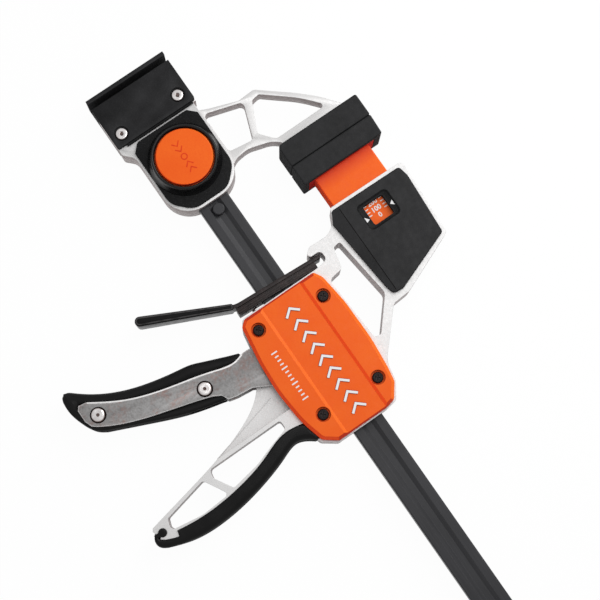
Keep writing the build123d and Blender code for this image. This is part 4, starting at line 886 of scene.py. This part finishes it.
# ---------------------------------------------------------------- handle grip
HANDLE_TIP = [(31.2, -121.2), (29.6, -123.4)]
GRIP_FACE_INNER = [
    (21.7, -30.5),
    (20.8, -38.6),
    (25.7, -55.4),
    (29.9, -71.6),
    (31.8, -86.0),
    (31.8, -104.2),
    (30.6, -113.6),
]
GRIP_FACE_OUTER = [
    (35.6, -122.2),
    (39.3, -111.2),
    (40.9, -91.0),
    (35.6, -59.4),
    (31.2, -46.0),
    (28.8, -36.8),
    (33.4, -27.6),
]
GRIP_UNDER = [(33.8, -24.0), (22.4, -26.0)]  # the grip's root, inside the body
GRIP_SHOULDER = (33.6, -114.6)
GRIP_HEEL = [(25.6, -124.3), (28.8, -126.4), (32.4, -126.1)]
GRIP_HALF = 9.5
GRIP_BULGE = 3.4  # rounding of the grip's outer rims
GRIP_LIP = 0.9  # rounding of its rims on the casting's faces
BEAD = (27.3, -120.6)  # round end of the grip in the handle's tip
BEAD_R = 2.25
BEAD_NECK = 1.15
BEAD_ROOT_Y = -125.2


def bead_outline():
    """The grip's bead and the neck that joins it to the heel."""
    open_half = math.asin(BEAD_NECK / BEAD_R)
    count = 24
    line = [(BEAD[0] - BEAD_NECK, BEAD_ROOT_Y)]
    for step in range(count + 1):
        angle = -math.pi / 2 - open_half - (2 * math.pi - 2 * open_half) * step / count
        line.append((BEAD[0] + BEAD_R * math.cos(angle), BEAD[1] + BEAD_R * math.sin(angle)))
    return line + [(BEAD[0] + BEAD_NECK, BEAD_ROOT_Y)]


def handle_grip(material):
    """The vinyl grip: round on the outside, with thin rims that lap over the casting."""
    inner = spline(GRIP_FACE_INNER, 14)
    tip = [GRIP_SHOULDER, *HANDLE_TIP]
    heel = spline([*GRIP_HEEL, GRIP_FACE_OUTER[0]], 8)
    outer = spline(GRIP_FACE_OUTER, 14)
    points = counterclockwise(even(inner + tip + heel + outer[1:] + GRIP_UNDER, 0.8))
    near = np.array(inner + tip)
    spots = np.array(points)
    away = np.linalg.norm(spots[:, None, :] - near[None, :, :], axis=2).min(axis=1)
    rounding = GRIP_LIP + (GRIP_BULGE - GRIP_LIP) * np.clip((away - 0.6) / 4.0, 0.0, 1.0)
    for _ in range(6):
        rounding = (np.roll(rounding, 1) + rounding + np.roll(rounding, -1)) / 3
    blank = to_mesh(slab(points, MID_Z - GRIP_HALF, MID_Z + GRIP_HALF, rounding, 7), "grip_blank")
    sleeve = cut(blank, [welded("frame"), welded("front_cover"), welded("rear_cover")])
    bead = to_mesh(slab(even(bead_outline(), 0.4), MID_Z - GRIP_HALF, MID_Z + GRIP_HALF, 0.5, 4), "bead")
    mesh = merged([sleeve, bead], "vinyl_handle_grip")
    piece = finish_piece("vinyl_handle_grip", mesh, material, "carriage")
    crisp(piece)
    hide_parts("handle_grip")


# ---------------------------------------------------------------- trigger's rubber grip
TRIGGER_BACK = [
    (-62.0, -123.2),
    (-61.8, -121.5),
    (-60.0, -118.8),
    (-52.6, -109.0),
    (-46.0, -96.0),
    (-41.4, -81.0),
    (-38.6, -66.4),
    (-37.4, -60.0),
    (-35.0, -53.6),
    (-31.4, -44.6),
    (-27.6, -35.4),
]
TRIGGER_NOSE = [(-25.2, -34.6), (-22.4, -42.0), (-19.6, -54.0)]
TRIGGER_FRONT = [(-11.0, -54.2), (-16.5, -75.1), (-24.1, -94.1), (-33.4, -115.6)]
TRIGGER_END = [(-36.8, -120.2), (-43.0, -123.6), (-51.0, -125.9), (-57.6, -126.0), (-60.8, -125.0)]
TRIGGER_NEST = [(-19.4, -40.0), (-19.4, -58.0), (-17.6, -72.0), (-11.0, -80.0), (0.0, -80.0), (0.0, -40.0)]
TRIGGER_NEST_RADII = [0, 3, 4, 3, 0, 0]
TRIGGER_NEST_HALF = 4.9
TRIGGER_HALF = 8.0
TRIGGER_BULGE = 3.6  # rounding of the grip's rims along the fingers
TRIGGER_LIP = 1.6  # rounding of its other rims


def trigger_grip(material):
    """The rubber round the trigger's plates, full along the fingers and slotted towards the handle."""
    back = spline(TRIGGER_BACK, 12)
    front = spline(TRIGGER_FRONT, 12)
    end = spline([TRIGGER_FRONT[-1], *TRIGGER_END, TRIGGER_BACK[0]], 8)
    points = counterclockwise(even(back + TRIGGER_NOSE + front + end[1:-1], 0.8))
    spots = np.array(points)
    away = np.linalg.norm(spots[:, None, :] - np.array(back)[None, :, :], axis=2).min(axis=1)
    rounding = TRIGGER_LIP + (TRIGGER_BULGE - TRIGGER_LIP) * np.clip(1.0 - (away - 1.0) / 4.0, 0.0, 1.0)
    for _ in range(6):
        rounding = (np.roll(rounding, 1) + rounding + np.roll(rounding, -1)) / 3
    blank = to_mesh(slab(points, MID_Z - TRIGGER_HALF, MID_Z + TRIGGER_HALF, rounding, 7), "rubber_blank")
    nest_outline = rounded(TRIGGER_NEST, TRIGGER_NEST_RADII)
    nest = prism([nest_outline], MID_Z - TRIGGER_NEST_HALF, MID_Z + TRIGGER_NEST_HALF)
    plates = [welded("trigger_plate_front"), welded("trigger_plate_rear")]
    mesh = cut(blank, [nest, *plates])
    piece = finish_piece("rubber_trigger_grip", mesh, material, "trigger")
    crisp(piece)
    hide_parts("trigger_grip")


# ---------------------------------------------------------------- marks
COVER_TOP = 25.0
BAND_FLOOR = 24.2
MARK_COUNT = 9
MARK_PITCH = 7.6
MARK_START_X = -31.4
MARK_HALF = 4.2
MARK_WIDTH = 1.3
MARK_SHADE_WIDTH = 1.85  # width of the painted shade round each chevron's foot
MARK_RISE = 0.45
TICK_COUNT = 13
TICK_PITCH = 2.4
TICK_START_X = -16.6
TICK_Y = -20.1
TICK_SIZES = (3.6, 2.2)  # every fourth tick is a long one
TICK_WIDTH = 0.75
PRINT = 0.05  # thickness of printed ink


def chevron(x, y, reach, half):
    """A line that points along the bar towards the fixed jaw."""
    return [(x + reach, y - half), (x, y), (x + reach, y + half)]


def cover_marks(ink, raised, shade):
    """Plain chevrons towards the fixed jaw along the band, and a row of ticks below them."""
    lines = [chevron(MARK_START_X + i * MARK_PITCH, 0.0, 3.6, MARK_HALF) for i in range(MARK_COUNT)]
    outlines = [stroke(line, MARK_WIDTH) for line in lines]
    top = prism(outlines, BAND_FLOOR - 0.05, BAND_FLOOR + MARK_RISE)
    chevrons = merged([top, flipped(top)], "chevrons")
    marks = finish_piece("cover_chevrons", chevrons, raised, "carriage", False)
    crisp(marks)
    # Painted shade: a dark red outline round each chevron's foot.
    foot = prism([stroke(line, MARK_SHADE_WIDTH) for line in lines], BAND_FLOOR - 0.05, BAND_FLOOR + PRINT)
    foot_shades = merged([foot, flipped(foot)], "foot_shades")
    finish_piece("chevron_foot_shade", foot_shades, shade, "carriage", False)
    ticks = []
    for i in range(TICK_COUNT):
        size = (TICK_WIDTH, TICK_SIZES[0] if i % 4 == 0 else TICK_SIZES[1])
        ticks.append(block((TICK_START_X + i * TICK_PITCH, TICK_Y), size, 0.2))
    row = prism(ticks, COVER_TOP - PRINT, COVER_TOP + PRINT)
    finish_piece("cover_ticks", row, ink, "carriage", False)


BUTTON_X = -129.8
BUTTON_TOP = 29.1
BUTTON_LINE = 0.6


def button_mark(material):
    """Two arrowheads and a ring along the bar's line on the button, laid flat in a deeper orange as the
    painted shade of moulded lines.
    """
    lines = [
        [(5.6, -2.2), (3.2, 0.0), (5.6, 2.2)],
        [(9.0, -2.2), (6.6, 0.0), (9.0, 2.2)],
        [(-5.6, -2.2), (-3.2, 0.0), (-5.6, 2.2)],
        [(-9.0, -2.2), (-6.6, 0.0), (-9.0, 2.2)],
    ]
    outlines = [stroke([(BUTTON_X + x, y) for x, y in line], BUTTON_LINE) for line in lines]
    arrows = prism(outlines, BUTTON_TOP - PRINT, BUTTON_TOP + PRINT)
    spots = [math.tau * i / 36 for i in range(36)]
    rings = []
    for radius in (1.9, 1.9, 1.3, 1.3):
        rings.append([(BUTTON_X + radius * math.cos(a), radius * math.sin(a)) for a in spots])
    low, high = BUTTON_TOP - PRINT, BUTTON_TOP + PRINT
    ring = loop_stack(rings, (low, high, high, low), "ring")
    mark = merged([arrows, ring], "button_mark")
    finish_piece("button_mark", mark, material, "button", False)


# ---------------------------------------------------------------- force gauge
WINDOW = (-48.4, 69.5)
WINDOW_HALF = (6.0, 6.3)
POCKET_HALF = (7.6, 9.6)
POCKET_FLOOR = 22.5
GAUGE_TOP = 23.5
SCALE_Z = 19.0  # the plunger's face under the window
SCALE_X = (-54.2, -52.2, -50.2, -48.3)
SCALE_ENDS_Y = (64.6, 74.7)
FIGURE_WEIGHT = 0.09  # added all round the figures' strokes


def figures(text, height, place, level, thick):
    """A number that reads towards the gauge's far side, raised on a face."""
    curve = bpy.data.curves.new("figures", "FONT")
    curve.body = text
    curve.size = height * MM * 1.42
    curve.align_x = "CENTER"
    curve.align_y = "CENTER"
    curve.extrude = thick * MM / 2
    curve.offset = FIGURE_WEIGHT * MM
    curve.resolution_u = 3
    holder = bpy.data.objects.new("figures", curve)
    bpy.context.scene.collection.objects.link(holder)
    graph = bpy.context.evaluated_depsgraph_get()
    mesh = bpy.data.meshes.new_from_object(holder.evaluated_get(graph))
    bpy.data.objects.remove(holder)
    spot = Vector((place[0] * MM, place[1] * MM, level * MM))
    mesh.transform(Matrix.Translation(spot) @ Matrix.Rotation(math.pi / 2, 4, "Z"))
    return mesh


def gauge_scale(ink):
    """Ticks and plain numbers on the plunger, seen through the window."""
    ticks = []
    for x in SCALE_X:
        for y in SCALE_ENDS_Y:
            ticks.append(block((x, y), (0.55, 2.1)))
    parts = [prism(ticks, SCALE_Z - PRINT, SCALE_Z + PRINT)]
    for text, x in (("200", -54.0), ("100", -50.1), ("0", -46.2)):
        parts.append(figures(text, 2.7, (x, WINDOW[1]), SCALE_Z, 2 * PRINT))
    finish_piece("gauge_scale", merged(parts, "gauge_scale"), ink, "plunger_and_pad", False)


def gauge_bezel(material):
    """The glossy funnel round the window."""
    shape = (
        (POCKET_HALF[0] + 0.3, POCKET_HALF[1] + 0.3, 2.6, GAUGE_TOP - 0.02),
        (POCKET_HALF[0] - 0.3, POCKET_HALF[1] - 0.3, 2.3, POCKET_FLOOR + 0.35),
        (POCKET_HALF[0] - 0.8, POCKET_HALF[1] - 0.8, 2.0, POCKET_FLOOR + 0.06),
        (WINDOW_HALF[0] + 0.15, WINDOW_HALF[1] + 0.15, 1.3, POCKET_FLOOR + 0.06),
        (WINDOW_HALF[0] - 0.1, WINDOW_HALF[1] - 0.1, 1.2, POCKET_FLOOR - 0.2),
        (WINDOW_HALF[0] - 0.1, WINDOW_HALF[1] - 0.1, 1.2, SCALE_Z + 0.6),
        (WINDOW_HALF[0] + 0.1, WINDOW_HALF[1] + 0.1, 1.2, SCALE_Z + 0.6),
        (WINDOW_HALF[0] + 0.6, WINDOW_HALF[1] + 0.6, 1.3, POCKET_FLOOR - 0.1),
        (POCKET_HALF[0] - 0.2, POCKET_HALF[1] - 0.2, 2.3, POCKET_FLOOR - 0.1),
        (POCKET_HALF[0] + 0.35, POCKET_HALF[1] + 0.35, 2.6, GAUGE_TOP - 0.1),
    )
    outlines = [block(WINDOW, (2 * x, 2 * y), radius) for x, y, radius, _ in shape]
    mesh = loop_stack(outlines, [row[3] for row in shape], "gauge_bezel")
    crisp(finish_piece("gauge_bezel", mesh, material, "carriage"))


def gauge_pointers(ink):
    """White pointers at both ends of the window."""
    upper = [(-47.5, 76.5), (-45.7, 78.6), (-49.1, 78.6)]
    lower = [(-46.7, 62.6), (-49.2, 60.5), (-45.8, 60.3)]
    mesh = prism([upper, lower], POCKET_FLOOR + 0.02, POCKET_FLOOR + 0.12)
    finish_piece("gauge_pointers", mesh, ink, "carriage", False)


def gauge_crease(material):
    """A dark strip of painted shade along the fine crease where the gauge cover's lower edge slopes away."""
    line = stroke([(-60.6, 52.4), (-8.0, 52.4)], 0.35)
    crease = prism([line], GAUGE_TOP - 0.1, GAUGE_TOP + 0.01)
    finish_piece("gauge_crease", crease, material, "carriage", False)


def handle_ledge(material):
    """The fine cast line along the handle's web."""
    line = stroke([(1.3, -34.9), (11.9, -76.1)], 0.4)
    top = prism([line], 16.9, 17.2)
    both = merged([top, flipped(top)], "handle_ledge")
    finish_piece("handle_ledge", both, material, "carriage", False)


# ---------------------------------------------------------------- head cover
PLATE_OUTLINE = [
    (-147.6, -20.3),
    (-114.0, -20.3),
    (-104.5, -10.8),
    (-104.5, 10.8),
    (-114.0, 20.3),
    (-147.6, 20.3),
    (-152.1, 15.8),
    (-152.1, -15.8),
]
PLATE_RADII = [1.5, 10.0, 10.0, 10.0, 10.0, 1.5, 1.5, 1.5]
PLATE_LEVELS = (20.5, 22.5)
PLATE_RIM = 0.5
COLLAR_HOLE = 17.0
COLLAR_PROFILE = [
    (17.2, 20.7),
    (17.2, 26.15),
    (16.1, 26.3),
    (16.1, 28.2),
    (16.3, 28.85),
    (16.7, 29.25),
    (17.1, 29.45),
    (17.5, 29.3),
    (17.85, 28.7),
    (18.1, 27.8),
    (18.35, 26.5),
    (18.7, 25.2),
    (19.2, 24.0),
    (19.7, 23.1),
    (20.1, 22.5),
    (20.1, 20.7),
]


def circle(centre, radius, count=72):
    """A circle's outline."""
    turns = [math.tau * i / count for i in range(count)]
    return [(centre[0] + radius * math.cos(a), centre[1] + radius * math.sin(a)) for a in turns]


def head_cover(plastic, gloss):
    """The eight-sided plate and the polished collar that stands round the button."""
    outline = rounded(PLATE_OUTLINE, PLATE_RADII)
    plate = to_mesh(slab(outline, *PLATE_LEVELS, PLATE_RIM), "head_plate")
    hole = prism([circle((BUTTON_X, 0.0), COLLAR_HOLE)], PLATE_LEVELS[0] - 1.0, PLATE_LEVELS[1] + 1.0)
    piece = finish_piece("head_plate", cut(plate, [hole]), plastic, "bar_and_fixed_jaw")
    crisp(piece)
    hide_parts("head_cover")
    rings = [circle((BUTTON_X, 0.0), radius) for radius, _ in COLLAR_PROFILE]
    collar = loop_stack(rings, [height for _, height in COLLAR_PROFILE], "head_collar")
    crisp(finish_piece("head_collar", collar, gloss, "bar_and_fixed_jaw"), 50.0)


SHOE_LIP = [(-154.7, -21.2), (-153.1, -21.2), (-153.1, 21.2), (-154.7, 21.2)]


def shoe_lip(plastic):
    """The dark foot of the connector where it meets the head."""
    lip = slab(even(SHOE_LIP + SHOE_LIP[:1], 1.0)[:-1], 20.7, 21.9, 0.8, 4)
    crisp(finish_piece("shoe_lip", to_mesh(lip, "shoe_lip"), plastic, "bar_and_fixed_jaw"))


# ---------------------------------------------------------------- button spring
COIL_LOW = 21.2
COIL_HIGH = 23.3  # under the pressed button's face
COIL_R = 7.0
COIL_WIRE = 0.35
COIL_TURNS = 2.0
COIL_STEPS = 36  # along each turn


def button_coil(material):
    """The spring under the button, as flat as the pressed button leaves it."""
    build = bmesh.new()
    rings = []
    count = int(COIL_TURNS * COIL_STEPS)
    for i in range(count + 1):
        turn = math.tau * i / COIL_STEPS
        out = Vector((math.cos(turn), math.sin(turn), 0.0))
        level = COIL_LOW + COIL_WIRE + (COIL_HIGH - COIL_LOW - 2 * COIL_WIRE) * i / count
        middle = Vector((BUTTON_X, 0.0, level)) + out * COIL_R
        spots = [math.tau * k / 8 for k in range(8)]
        ring = [middle + (out * math.cos(a) + Vector((0, 0, 1)) * math.sin(a)) * COIL_WIRE for a in spots]
        rings.append([build.verts.new(spot * MM) for spot in ring])
    for ring, after in zip(rings, rings[1:]):
        for k in range(8):
            build.faces.new((ring[k], ring[(k + 1) % 8], after[(k + 1) % 8], after[k]))
    build.faces.new(rings[0][::-1])
    build.faces.new(rings[-1])
    bmesh.ops.recalc_face_normals(build, faces=build.faces)
    coil = to_mesh(build, "button_coil")
    piece = finish_piece("button_coil", coil, material, "bar_and_fixed_jaw")
    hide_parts("button_spring")


# ---------------------------------------------------------------- lever sleeve
SLEEVE_LINE = [(-49.6, -23.6), (-72.5, -71.3)]
SLEEVE_HALF = 8.3
SLEEVE_WIDTHS = (3.6, 5.6)  # at the bend, near the tip
SLEEVE_ROUND = 2.0


def sleeve_outline():
    """The sleeve's tapered side view."""
    start, end = (Vector(point) for point in SLEEVE_LINE)
    along = (end - start).normalized()
    across = Vector((-along.y, along.x))
    near, far = (width / 2 for width in SLEEVE_WIDTHS)
    corners = [start + across * near, start - across * near, end - across * far, end + across * far]
    radii = [near * 0.8, near * 0.8, far * 0.95, far * 0.95]
    return even(rounded([tuple(point) for point in corners], radii), 0.6)


def lever_sleeve(material):
    """Dipped vinyl round the lever, thinner towards the bend."""
    body = slab(sleeve_outline(), MID_Z - SLEEVE_HALF, MID_Z + SLEEVE_HALF, SLEEVE_ROUND, 7)
    piece = finish_piece("vinyl_lever_sleeve", to_mesh(body, "sleeve"), material, "lever")
    crisp(piece, 60.0)
    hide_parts("lever_sleeve")


# ---------------------------------------------------------------- sockets
SHOE_SCREWS = [(-161.6, 16.6), (-160.9, -20.1)]
SOCKET_R = 1.0
RIVETS = [(-42.4, -114.2), (-22.0, -60.6)]
RIVET_TOP = 22.8
DIMPLE_R = 0.95
DIMPLE = 0.02  # height of the dimples' shade over the rivets' domes


# Radius of the painted shade round each rivet.
RIVET_SHADE_RING = 4.35
PLATE_FACE = 21.2
PLATE_RIM_LINE = [
    (-51.0, -115.6), (-41.0, -98.6), (-33.0, -75.0),
    (-27.0, -51.6), (-24.6, -40.0), (-26.0, -34.4),
]
RIM_WIDTH = 0.75


def plate_trim(bright, shade):
    """The bright sheared edge along the fingers' side of both plates, also a painted highlight, and dark
    rings of painted shade round the rivets.
    """
    # Bright strip along the plates' lit side: sheared edge and painted highlight.
    line = stroke(spline(PLATE_RIM_LINE, 8), RIM_WIDTH)
    painted_rim = prism([line], PLATE_FACE - 0.4, PLATE_FACE + 0.04)
    rims = merged([painted_rim, flipped(painted_rim)], "rims")
    finish_piece("plate_rims", rims, bright, "trigger", False)
    # Painted shade: dark rings round the rivets.
    rings = prism([circle(spot, RIVET_SHADE_RING) for spot in RIVETS], PLATE_FACE - 0.3, PLATE_FACE + 0.05)
    both = merged([rings, flipped(rings)], "rings")
    finish_piece("rivet_shade_rings", both, shade, "trigger", False)


def sockets(shade):
    """Painted shade: dark plugs in the connector screws' sockets and over the rivets' dimples."""
    top = NODES["connector_screws"].bound_box[6][2] / MM
    holes = [circle(spot, SOCKET_R, 6) for spot in SHOE_SCREWS]
    plugs = prism(holes, top - 1.0, top - 0.12)
    finish_piece("screw_socket_shade", plugs, shade, "bar_and_fixed_jaw", False)
    dimples = prism([circle(spot, DIMPLE_R, 24) for spot in RIVETS], RIVET_TOP - 0.3, RIVET_TOP + DIMPLE)
    both = merged([dimples, flipped(dimples)], "dimples")
    finish_piece("rivet_dimple_shade", both, shade, "trigger", False)


add_camera()
light_world()
add_box_light()
add_floor()
HEAD_PLASTIC = moulded_plastic("head_plastic", (0.003, 0.003, 0.0032), (0.0052, 0.0052, 0.0055), 0.09)
VINYL = dipped_vinyl()
INK = white_print()
GLOSS = glossy_plastic()
CREASE_SHADE = groove_shade()
SPRING_WIRE = spring_wire()
dress_nodes()
head_cover(HEAD_PLASTIC, GLOSS)
shoe_lip(HEAD_PLASTIC)
button_coil(SPRING_WIRE)
lever_sleeve(sleeve_vinyl())
plate_trim(sheared_rim_and_highlight(), CREASE_SHADE)
sockets(socket_shade())
handle_grip(VINYL)
trigger_grip(soft_rubber())
cover_marks(INK, raised_white(), mark_shade())
button_mark(red_groove_shade())
gauge_scale(INK)
gauge_bezel(HEAD_PLASTIC)
gauge_pointers(INK)
gauge_crease(CREASE_SHADE)
handle_ledge(NODES["frame"].data.materials[0])
bpy.context.scene.view_settings.view_transform = "Standard"
